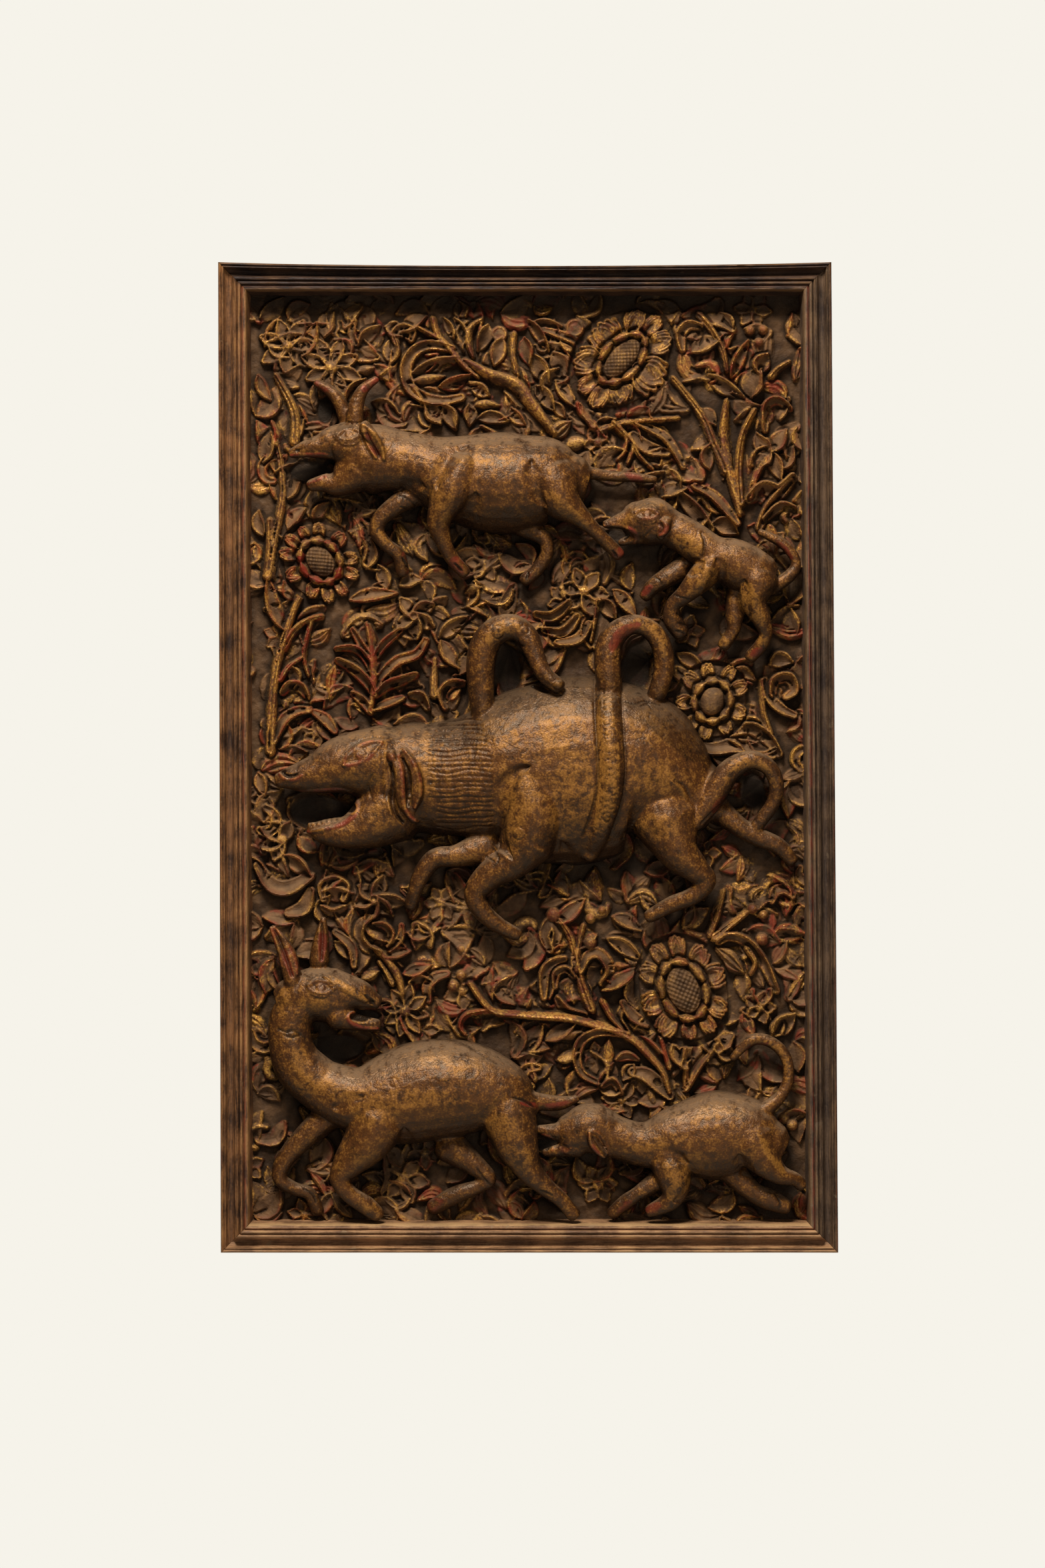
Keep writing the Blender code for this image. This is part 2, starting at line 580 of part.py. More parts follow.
def add_ground_leaves(bm, taken):
    """Leaves that fill the rest of the ground, on a loose grid, turned by a slow swirl."""
    dice = random.Random(7)
    gy = GRID_TOP + 22
    while gy < GRID_BOTTOM - 12:
        gx = GRID_LEFT + 16
        while gx < GRID_RIGHT - 16:
            jx = gx + dice.uniform(-12, 12)
            jy = gy + dice.uniform(-12, 12)
            swirl = 2.2 * math.sin(jx * 0.013) + 1.9 * math.cos(jy * 0.011) + dice.uniform(-0.6, 0.6)
            x, z = placed(jx, jy)
            for length, turn in GROUND_LEAF_TRIES:
                length *= GRID_SQUARE
                if add_leaf(bm, x, z, swirl + turn, length, length * 0.46, FOLIAGE_RISE * 0.75, taken):
                    break
            gx += GROUND_LEAF_SPACING
        gy += GROUND_LEAF_SPACING * 0.8


def foliage():
    """All the carving of the ground, as one helper that both planks are joined with."""
    bm = bmesh.new()
    taken = limb_axes()
    stems = [add_stem(bm, route, half_width, taken) for route, half_width in STEMS]
    for stretches in stems:
        for stretch in stretches:
            taken += stretch
    for spec in FLOWERS:
        add_flower(bm, spec, taken)
    for stretches in stems:
        add_stem_leaves(bm, stretches, taken)
    add_ground_leaves(bm, taken)
    return helper("foliage", bm)


def plank(name, left_share, right_share, carving, colour):
    """One upright plank of the ground, between two shares of the panel's width."""
    inset = MOULDING_WIDTH - REBATE_WIDTH + GAP

    def edge(share, top):
        left, z = corner(False, top, inset)
        right, _ = corner(True, top, inset)
        return lerp(left, right, share), z

    outline = [edge(left_share, False), edge(right_share, False)]
    outline += [edge(right_share, True), edge(left_share, True)]
    bm = bmesh.new()
    prism(bm, outline, 0.0, y_at(0.0))
    thing = linked(name, bm)
    carved = thing.modifiers.new("carving", "BOOLEAN")
    carved.operation = "UNION"
    carved.solver = "EXACT"
    carved.use_self = True
    carved.object = carving
    bm = bmesh.new()
    prism(bm, outline, SUNK, y_at(FOLIAGE_RISE * 2))
    sawn = thing.modifiers.new("sawn edges", "BOOLEAN")
    sawn.operation = "INTERSECT"
    sawn.solver = "EXACT"
    sawn.object = helper("blank for " + name.replace("_", " "), bm)
    coloured(thing, colour, 0.75, 0.05)
    return thing


# The moulding: inset from the outer edge and height above the ground, both as shares.
MOULDING_PROFILE = [
    (0.00, 0.72), (0.02, 0.93), (0.07, 1.00), (0.12, 0.94), (0.16, 0.99), (0.19, 0.92), (0.24, 0.76),
    (0.33, 0.69), (0.42, 0.75), (0.48, 0.92), (0.54, 1.00), (0.59, 0.97), (0.61, 0.88), (0.67, 1.00),
    (0.73, 0.96), (0.75, 0.88), (0.78, 0.95), (0.88, 0.93), (0.93, 0.62), (1.00, 0.00),
]


def rail(name, horizontal, far_side, colour):
    """One mitred length of the moulding, with the rebate behind it that the planks sit in."""
    bm = bmesh.new()
    profile = [(share * MOULDING_WIDTH, y_at(rise * MOULDING_RISE)) for share, rise in MOULDING_PROFILE[:-1]]
    rebate = MOULDING_WIDTH - REBATE_WIDTH
    profile += [(MOULDING_WIDTH, y_at(GAP)), (rebate, y_at(GAP)), (rebate, 0.0), (0.0, 0.0)]
    first, last = [], []
    for inset, y in profile:
        if horizontal:
            ends = [corner(False, far_side, inset), corner(True, far_side, inset)]
            trims = [(GAP / 2, 0), (-GAP / 2, 0)]
        else:
            ends = [corner(far_side, False, inset), corner(far_side, True, inset)]
            trims = [(0, GAP / 2), (0, -GAP / 2)]
        for ring, (x, z), (dx, dz) in zip((first, last), ends, trims):
            ring.append(bm.verts.new((x + dx, y, z + dz)))
    bm.faces.new(first)
    bm.faces.new(reversed(last))
    for i in range(len(profile)):
        j = (i + 1) % len(profile)
        bm.faces.new((first[i], first[j], last[j], last[i]))
    thing = linked(name, bm)
    coloured(thing, colour, 0.45, 0.1)
    return thing


for old in list(bpy.data.objects):
    bpy.data.objects.remove(old)

carving = foliage()
plank("board_left_plank", 0.0, PLANK_JOINT_SHARE - GAP / TOP_WIDTH, carving, (0.10, 0.068, 0.043))
plank("board_right_plank", PLANK_JOINT_SHARE, 1.0, carving, (0.10, 0.068, 0.043))
figure("horned_beast", list(HORNED_BEAST.values()), 800, (0.33, 0.20, 0.075))
figure("upper_hound", list(UPPER_HOUND.values()), 650, (0.33, 0.20, 0.075))
figure("boar_with_serpent", list(BOAR.values()) + [serpent_band()], 1350, (0.35, 0.21, 0.08))
figure("deer_looking_back", list(DEER.values()), 880, (0.34, 0.20, 0.08))
figure("lower_hound", list(LOWER_HOUND.values()), 700, (0.33, 0.20, 0.08))
rail("frame_top_rail", True, True, (0.075, 0.045, 0.027))
rail("frame_bottom_rail", True, False, (0.18, 0.105, 0.055))
rail("frame_left_stile", False, False, (0.17, 0.10, 0.05))
rail("frame_right_stile", False, True, (0.10, 0.062, 0.037))
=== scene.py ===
import math
import random

import bmesh
import bpy
import numpy as np
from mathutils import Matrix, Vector


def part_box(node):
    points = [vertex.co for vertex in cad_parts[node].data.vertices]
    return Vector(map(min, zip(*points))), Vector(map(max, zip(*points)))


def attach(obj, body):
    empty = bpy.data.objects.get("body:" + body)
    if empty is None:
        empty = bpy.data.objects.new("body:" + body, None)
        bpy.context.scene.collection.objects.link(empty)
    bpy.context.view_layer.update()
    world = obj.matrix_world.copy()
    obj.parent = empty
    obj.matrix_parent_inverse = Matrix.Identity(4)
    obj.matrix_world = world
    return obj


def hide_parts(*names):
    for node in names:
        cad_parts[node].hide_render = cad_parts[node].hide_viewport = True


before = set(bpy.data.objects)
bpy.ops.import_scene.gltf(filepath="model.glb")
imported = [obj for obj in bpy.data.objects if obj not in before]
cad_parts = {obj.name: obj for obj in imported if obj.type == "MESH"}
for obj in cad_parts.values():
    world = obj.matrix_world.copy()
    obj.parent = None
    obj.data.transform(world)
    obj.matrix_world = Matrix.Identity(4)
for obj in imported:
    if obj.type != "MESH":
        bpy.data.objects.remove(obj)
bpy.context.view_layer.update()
bpy.ops.object.select_all(action="DESELECT")
print("stage: frame loaded")

# Everything below is placed on the carver's drawing: squares of about 0.645 mm, x to the right, y down.
panel = {
    "topWidth": 0.5947,
    "bottomWidth": 0.5986,
    "height": 0.96,
    "lean": 0.0046,
    "boardThickness": 0.018,
    "mouldingWidth": 0.0305,
    "mouldingRise": 0.034,
    "rebate": 0.016,
    "jointShare": 0.4714,
    "reliefRise": 0.062,
    "gap": 0.0003,
    "left": 374.5,
    "right": 1208.0,
    "top": 439.0,
    "bottom": 1833.0,
}


def cornerOf(right, top, inset):
    half = {False: panel["bottomWidth"] / 2, True: panel["topWidth"] / 2}
    side = 1 if right else -1
    foot = side * half[False] + panel["lean"] / 2
    head = side * half[True] - panel["lean"] / 2
    z = (panel["height"] / 2 - inset) if top else (inset - panel["height"] / 2)
    share = z / panel["height"] + 0.5
    return foot + (head - foot) * share - side * inset, z


fieldCorners = {(r, t): cornerOf(r, t, panel["mouldingWidth"]) for r in (False, True) for t in (False, True)}


# x and z, in metres, of places on the drawing; arrays or numbers
def placed(gx, gy):
    u = (gx - panel["left"]) / (panel["right"] - panel["left"])
    v = (panel["bottom"] - gy) / (panel["bottom"] - panel["top"])
    low = fieldCorners[False, False][0] * (1 - u) + fieldCorners[True, False][0] * u
    high = fieldCorners[False, True][0] * (1 - u) + fieldCorners[True, True][0] * u
    z0, z1 = fieldCorners[False, False][1], fieldCorners[False, True][1]
    return low * (1 - v) + high * v, z0 + (z1 - z0) * v


# the way back: places on the drawing of x and z in metres
def drawn(x, z):
    z0, z1 = fieldCorners[False, False][1], fieldCorners[False, True][1]
    v = (z - z0) / (z1 - z0)
    start = fieldCorners[False, False][0] * (1 - v) + fieldCorners[False, True][0] * v
    end = fieldCorners[True, False][0] * (1 - v) + fieldCorners[True, True][0] * v
    u = (x - start) / (end - start)
    gx = panel["left"] + u * (panel["right"] - panel["left"])
    return gx, panel["bottom"] - v * (panel["bottom"] - panel["top"])


square = (fieldCorners[False, True][1] - fieldCorners[False, False][1]) / (panel["bottom"] - panel["top"])
groundY = -panel["boardThickness"]


# further places between the given ones, on a Catmull-Rom curve
def smoothRow(stations, steps):
    row = []
    for i in range(len(stations) - 1):
        before, after = stations[max(i - 1, 0)], stations[min(i + 2, len(stations) - 1)]
        for k in range(steps):
            t = k / steps
            row.append(tuple(
                b + 0.5 * t * (c - a + t * (2 * a - 5 * b + 4 * c - d + t * (3 * b - 3 * c + d - a)))
                for a, b, c, d in zip(before, stations[i], stations[i + 1], after)
            ))
    row.append(tuple(stations[-1]))
    return row


def smoothStep(low, high, values):
    share = np.clip((values - low) / (high - low), 0, 1)
    return share * share * (3 - 2 * share)


# cloudy values from -1 to 1 over a grid, the same on every run
def clouds(rows, columns, size, seed, octaves=3):
    dice = np.random.default_rng(seed)
    total = np.zeros((rows, columns), np.float32)
    weight = 1.0
    for _ in range(octaves):
        coarse = dice.uniform(-1, 1, (int(rows / size) + 3, int(columns / size) + 3)).astype(np.float32)
        v, u = np.arange(rows) / size, np.arange(columns) / size
        i, j = v.astype(int), u.astype(int)
        a, b = smoothStep(0, 1, v - i)[:, None], smoothStep(0, 1, u - j)[None, :]
        upper = coarse[i][:, j] * (1 - b) + coarse[i][:, j + 1] * b
        lower = coarse[i + 1][:, j] * (1 - b) + coarse[i + 1][:, j + 1] * b
        total += weight * (upper * (1 - a) + lower * a)
        size, weight = max(size / 2, 1), weight / 2
    return total


# mean of the values within reach of each, as a square
def blurred(values, reach):
    for axis in (0, 1):
        values = np.moveaxis(values, axis, 0)
        padded = np.concatenate([values[:1].repeat(reach + 1, 0), values, values[-1:].repeat(reach, 0)])
        total = np.cumsum(padded, axis=0, dtype=np.float64)
        values = np.moveaxis((total[2 * reach + 1:] - total[:-2 * reach - 1]) / (2 * reach + 1), 0, axis)
    return values.astype(np.float32)


# how wide a ribbon is along its length, as a share of its full width
widthAlong = {
    "leaf": lambda t: np.clip(np.sin(np.pi * np.clip(t, 0, 1) ** 0.85), 0, 1) ** 0.8,
    "petal": lambda t: np.clip(np.sin(np.pi * (0.12 + 0.84 * np.clip(t, 0, 1) ** 1.3)), 0, 1) ** 0.6,
    "stem": lambda t: 1.0 - 0.45 * np.clip(t, 0, 1),
    "band": lambda t: np.ones_like(t),
    "curl": lambda t: 0.55 + 0.45 * np.sin(np.pi * np.clip(t, 0, 1)),
}
# how high it is across its width, from -1 at one edge to 1 at the other
heightAcross = {
    "scooped": lambda s: 0.62 + 0.38 * s * s,
    "ribbed": lambda s: (0.84 + 0.16 * np.cos(3 * np.pi * s)) * (1 - 0.25 * s ** 4),
    "round": lambda s: 0.5 + 0.5 * np.sqrt(np.clip(1 - s * s, 0, 1)),
    "twin": lambda s: (1 - 0.4 * s ** 4) * (1 - 0.3 * np.exp(-(s / 0.22) ** 2)),
    "flat": lambda s: 1 - 0.12 * s ** 4,
    "ridge": lambda s: 1 - 0.45 * np.abs(s),
    "dished": lambda s: 0.78 + 0.22 * s * s - 0.1 * np.exp(-(s / 0.14) ** 2),
    "soft": lambda s: 0.5 + 0.5 * np.cos(np.pi * s),
}


class Carving:
    # heights above the ground in millimetres, and where gilt, red, and grime with painted shade lie, over
    # part of the drawing
    def __init__(self, left, top, right, bottom, step):
        self.left, self.top, self.step = left, top, step
        self.shape = (int((bottom - top) / step) + 2, int((right - left) / step) + 2)
        self.layers = {name: np.zeros(self.shape, np.float32) for name in ("height", "gilt", "red", "dirtAndShade")}

    # the part of the grid within reach of the places, as slices and the coordinates there
    def window(self, row, reach):
        xs, ys = [p[0] for p in row], [p[1] for p in row]
        i0 = max(int((min(ys) - reach - self.top) / self.step), 0)
        i1 = min(int((max(ys) + reach - self.top) / self.step) + 2, self.shape[0])
        j0 = max(int((min(xs) - reach - self.left) / self.step), 0)
        j1 = min(int((max(xs) + reach - self.left) / self.step) + 2, self.shape[1])
        if i1 <= i0 or j1 <= j0:
            return None
        ys, xs = np.mgrid[i0:i1, j0:j1].astype(np.float32) * self.step
        return (slice(i0, i1), slice(j0, j1)), xs + self.left, ys + self.top

    def sample(self, layer, gx, gy):
        v = np.clip((gy - self.top) / self.step, 0, self.shape[0] - 1.001)
        u = np.clip((gx - self.left) / self.step, 0, self.shape[1] - 1.001)
        i, j = v.astype(int), u.astype(int)
        a, b = v - i, u - j
        values = self.layers[layer]
        upper = values[i, j] * (1 - b) + values[i, j + 1] * b
        return upper * (1 - a) + (values[i + 1, j] * (1 - b) + values[i + 1, j + 1] * b) * a

    # a band along a route: raised on the ground ("carve"), or added to what is there ("add")
    def ribbon(self, route, wide, high, shape="leaf", section="scooped", mode="carve", wall=2.6, tilt=0.0,
               lift=0.0, gilt=0.0, red=0.0, dirtAndShade=None, steps=5, moat=0.55):
        stations = list(zip(route[::2], route[1::2]))
        row = smoothRow(stations, steps) if len(stations) > 2 else [
            tuple(np.array(stations[0]) * (1 - k / 4) + np.array(stations[1]) * k / 4) for k in range(5)
        ]
        found = self.window(row, wide + wall + 2)
        if found is None:
            return
        part, xs, ys = found
        best = np.full(xs.shape, 1e9, np.float32)
        along, across = np.zeros_like(xs), np.zeros_like(xs)
        lengths = [math.dist(a, b) for a, b in zip(row, row[1:])]
        total, walked = max(sum(lengths), 1e-6), 0.0
        for (x0, y0), (x1, y1), length in zip(row, row[1:], lengths):
            if length < 1e-6:
                continue
            dx, dy = (x1 - x0) / length, (y1 - y0) / length
            k = np.clip((xs - x0) * dx + (ys - y0) * dy, 0, length)
            ex, ey = xs - x0 - k * dx, ys - y0 - k * dy
            away = np.hypot(ex, ey)
            near = away < best
            best = np.where(near, away, best)
            along = np.where(near, (walked + k) / total, along)
            across = np.where(near, np.sign(dx * ey - dy * ex) * away, across)
            walked += length
        width = np.maximum(wide * widthAlong[shape](along), 0.6)
        s = np.clip(across / width, -1, 1)
        edge = np.clip((width - best) / wall + 1, 0, 1)
        rise = heightAcross[section](s) + tilt * s + lift * (along - 0.5)
        if mode == "add":
            self.layers["height"][part] += high * rise * smoothStep(0, 1, edge)
            over = edge > 0.5
        else:
            rise = high * rise * np.sqrt(edge * (2 - edge))
            there = self.layers["height"][part]
            over = (rise > there) & (edge > 0)
            around = smoothStep(wall + 5, wall, best - width) * (there < 0.8 * high) * moat
            self.layers["height"][part] = np.where(over, rise, there * (1 - around))
        rim = smoothStep(0.4, 0.9, np.abs(s)) if section in ("scooped", "dished") and mode == "carve" else 1.0
        for name, value, share in (("gilt", gilt, rim), ("red", red, rim), ("dirtAndShade", dirtAndShade, 1.0)):
            if mode == "carve" or value:
                if value is not None:
                    self.layers[name][part] = np.where(over, value * share, self.layers[name][part])

    # a round or oval boss; hollow makes a dish of it
    def boss(self, gx, gy, wide, high, tall=None, turn=0.0, hollow=0.0, mode="carve", base=0.45, hatch=0.0,
             gilt=0.0, red=0.0, dirtAndShade=None, moat=0.0):
        tall = tall or wide
        found = self.window([(gx, gy)], max(wide, tall) + 9)
        if found is None:
            return
        part, xs, ys = found
        c, n = math.cos(math.radians(turn)), math.sin(math.radians(turn))
        u, v = ((xs - gx) * c + (ys - gy) * n) / wide, ((ys - gy) * c - (xs - gx) * n) / tall
        r = np.hypot(u, v)
        edge = np.clip((1 - r) * min(wide, tall) / 1.6 + 1, 0, 1)
        rise = base + (1 - base) * np.sqrt(np.clip(1 - r * r, 0, 1))
        if hollow:
            rise = rise - hollow * smoothStep(0.85, 0.55, r)
        if hatch:
            lines = np.cos(2 * np.pi * u * wide / hatch) * np.cos(2 * np.pi * v * tall / hatch)
            rise = rise - 0.1 * (1 - lines) * (r < 0.95)
        if mode == "add":
            self.layers["height"][part] += high * rise * edge
            over = edge > 0.5
        else:
            rise = high * rise * edge
            there = self.layers["height"][part]
            if moat:
                there = np.where(r < 1.15, there * (1 - moat), there)
            over = (rise > there) & (edge > 0)
            self.layers["height"][part] = np.where(over, rise, there)
        for name, value in (("gilt", gilt), ("red", red), ("dirtAndShade", dirtAndShade)):
            if mode == "carve" or value:
                if value is not None:
                    self.layers[name][part] = np.where(over, value, self.layers[name][part])

    # clears what is carved around a place, and paints it black as shade
    def hollow(self, gx, gy, wide, tall):
        found = self.window([(gx, gy)], max(wide, tall) + 3)
        part, xs, ys = found
        share = smoothStep(1.0, 0.7, np.hypot((xs - gx) / wide, (ys - gy) / tall))
        self.layers["height"][part] *= 1 - share
        self.layers["dirtAndShade"][part] = np.maximum(self.layers["dirtAndShade"][part], share)


# Meshes.


def newGrid(name, rows, columns):
    bpy.ops.mesh.primitive_grid_add(x_subdivisions=columns - 1, y_subdivisions=rows - 1, size=1)
    thing = bpy.context.active_object
    thing.name = thing.data.name = name
    return thing


def pointsOf(thing):
    values = np.empty(len(thing.data.vertices) * 3, np.float32)
    thing.data.vertices.foreach_get("co", values)
    return values.reshape(-1, 3)


def normalsOf(thing):
    values = np.empty(len(thing.data.vertices) * 3, np.float32)
    thing.data.vertices.foreach_get("normal", values)
    return values.reshape(-1, 3)


def setPoints(thing, points):
    thing.data.vertices.foreach_set("co", np.ascontiguousarray(points, np.float32).ravel())
    thing.data.update()


def setLayer(thing, name, values):
    layer = thing.data.attributes.new(name, "FLOAT", "POINT")
    layer.data.foreach_set("value", np.ascontiguousarray(values, np.float32).ravel())


def onlySelected(thing):
    bpy.ops.object.select_all(action="DESELECT")
    thing.select_set(True)
    bpy.context.view_layer.objects.active = thing


def applied(thing, kind, **settings):
    onlySelected(thing)
    modifier = thing.modifiers.new(kind.lower(), kind)
    for key, value in settings.items():
        setattr(modifier, key, value)
    bpy.ops.object.modifier_apply(modifier=modifier.name)


def thinned(thing, mostTriangles):
    thing.data.calc_loop_triangles()
    count = len(thing.data.loop_triangles)
    if count > mostTriangles:
        applied(thing, "DECIMATE", ratio=mostTriangles / count)
    print("stage:", thing.name, count, "triangles, now", len(thing.data.polygons))


# runs an edit on all of a mesh, in edit mode
def edited(thing, *operations):
    onlySelected(thing)
    bpy.ops.object.mode_set(mode="EDIT")
    bpy.ops.mesh.select_all(action="SELECT")
    for operation, settings in operations:
        operation(**settings)
    bpy.ops.object.mode_set(mode="OBJECT")


def standsFor(piece, node, finish):
    piece.data.materials.clear()
    piece.data.materials.append(finish)
    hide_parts(node)
    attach(piece, "root")


# Finishes.


class Value:
    # a shader socket that takes arithmetic
    def __init__(self, finish, socket):
        self.finish, self.socket = finish, socket

    def worked(self, operation, *others):
        return self.finish.node("ShaderNodeMath", {"operation": operation}, dict(enumerate(others)))

    def __add__(self, other):
        return self.worked("ADD", self, other)

    def __sub__(self, other):
        return self.worked("SUBTRACT", self, other)

    def __rsub__(self, other):
        return self.worked("SUBTRACT", other, self)

    def __mul__(self, other):
        return self.worked("MULTIPLY", self, other)

    __radd__, __rmul__ = __add__, __mul__


class Finish:
    # a material and what makes its nodes
    def __init__(self, name):
        self.material = bpy.data.materials.new(name)
        self.material.use_nodes = True
        self.tree = self.material.node_tree
        self.shader = self.tree.nodes["Principled BSDF"]
        self.place = self.node("ShaderNodeTexCoord", {}, {}, "Object")
        self.facing = self.node("ShaderNodeNewGeometry", {}, {}, "Normal")

    def node(self, kind, settings, inputs, output=0):
        node = self.tree.nodes.new(kind)
        for key, value in settings.items():
            setattr(node, key, value)
        for key, value in inputs.items():
            if isinstance(value, Value):
                self.tree.links.new(value.socket, node.inputs[key])
            else:
                node.inputs[key].default_value = value
        return Value(self, node.outputs[output])

    def layer(self, name):
        return self.node("ShaderNodeAttribute", {"attribute_name": name}, {}, "Fac")

    def noise(self, scale, detail=3.0, stretch=(1, 1, 1), place=None, distortion=0.0):
        place = self.node("ShaderNodeMapping", {}, {"Vector": place or self.place, "Scale": stretch})
        inputs = {"Vector": place, "Scale": scale, "Detail": detail, "Distortion": distortion}
        return self.node("ShaderNodeTexNoise", {}, inputs, "Fac")

    def step(self, value, low, high):
        inputs = {"Value": value, "From Min": low, "From Max": high}
        return self.node("ShaderNodeMapRange", {"interpolation_type": "SMOOTHSTEP"}, inputs)

    def mix(self, share, first, second):
        return self.node("ShaderNodeMix", {"data_type": "RGBA"}, {0: share, 6: first, 7: second}, 2)

    def up(self):
        return self.node("ShaderNodeSeparateXYZ", {}, {"Vector": self.facing}, "Z")

    def facingY(self):
        return self.node("ShaderNodeSeparateXYZ", {}, {"Vector": self.facing}, "Y")

    # how deep a place lies; the ground is at -0.018 and the boar's flank at -0.080
    def depth(self):
        return self.node("ShaderNodeSeparateXYZ", {}, {"Vector": self.place}, "Y")

    def bump(self, height, distance, strength=1.0):
        inputs = {"Height": height, "Distance": distance, "Strength": strength}
        return self.node("ShaderNodeBump", {}, inputs)

    def done(self, constants=None, **sockets):
        for key, value in (constants or {}).items():
            self.shader.inputs[key].default_value = value
        for key, value in sockets.items():
            self.tree.links.new(value.socket, self.shader.inputs[key.replace("_", " ")])
        return self.material


# a colour as it is read off a screen, in the shader's own scale
def tone(red, green, blue):
    scaled = [part / 255 for part in (red, green, blue)]
    return (*[c / 12.92 if c <= 0.04045 else ((c + 0.055) / 1.055) ** 2.4 for c in scaled], 1)


groundFinish = {
    "deep": tone(20, 12, 7),
    "wood": tone(68, 45, 27),
    "woodPale": tone(118, 83, 52),
    "gilt": tone(212, 154, 70),
    "sheen": tone(255, 234, 206),
    "giltWorn": tone(134, 86, 38),
    "red": tone(132, 44, 27),
    "redWorn": tone(108, 50, 30),
    "dustAndTopLight": tone(144, 111, 77),
}


def carvedGroundFinish():
    look, finish = groundFinish, Finish("worn gilt carving")
    height, cavity = finish.layer("height"), finish.layer("cavity")
    broad, patchy = finish.noise(9, 4), finish.noise(75, 6)
    fine = finish.noise(420, 3)
    colour = finish.mix(finish.step(patchy + broad * 0.5, 0.55, 0.95), look["wood"], look["woodPale"])
    gold = finish.mix(finish.step(fine + patchy * 0.3, 0.55, 0.75), look["giltWorn"], look["gilt"])
    edge = finish.step(cavity + (patchy - 0.5) * 1.5, 0.24, 0.62)
    rimColour = finish.mix(finish.step(finish.noise(30, 3), 0.46, 0.58), gold, look["redWorn"])
    colour = finish.mix(edge * 0.52, colour, rimColour)
    giltMask = finish.layer("gilt") * finish.step(patchy + fine * 0.5, 0.66, 0.86)
    colour = finish.mix(giltMask * 0.9, colour, gold)
    redMask = finish.layer("red") * finish.step(finish.noise(110, 5), 0.42, 0.56)
    colour = finish.mix(redMask * 0.85, colour, look["red"])
    # paler colour on raised up-facing surfaces: settled grit and a painted top light
    dustAndTopLight = finish.step(finish.up(), 0.1, 0.75) * finish.step(broad + fine * 0.3, 0.4, 0.8)
    dustAndTopLight = dustAndTopLight * finish.step(height, 1.5, 7.0)
    colour = finish.mix(dustAndTopLight * 0.3, colour, look["dustAndTopLight"])
    # painted shade in the recesses
    paintedRecessShade = finish.step(cavity * -1 + (patchy - 0.5) * 0.25, 0.0, 0.6)
    colour = finish.mix(paintedRecessShade * 0.75, colour, look["deep"])
    # painted shade: the lower the carving, the darker
    colour = finish.mix(finish.step(height, 5.0, 0.5) * 0.45, colour, look["deep"])
    # grime and painted shade from the carving's layer
    colour = finish.mix(finish.layer("dirtAndShade") * 0.9, colour, look["deep"])
    rough = 0.66 - giltMask * 0.24 - edge * 0.14 + paintedRecessShade * 0.2
    bump = finish.bump(fine * 0.6 + patchy * 1.3, 0.0012, 0.8)
    return finish.done({"Specular IOR Level": 0.25, "Specular Tint": look["sheen"]}, Base_Color=colour,
                       Roughness=rough, Normal=bump, Metallic=giltMask * 0.35)


animalFinish = {
    "deep": tone(20, 12, 7),
    "brown": tone(55, 33, 18),
    "ochre": tone(92, 53, 22),
    "gold": tone(186, 126, 52),
    "sheen": tone(255, 222, 184),
    "dustAndTopLight": tone(150, 118, 86),
    "red": tone(118, 42, 27),
}


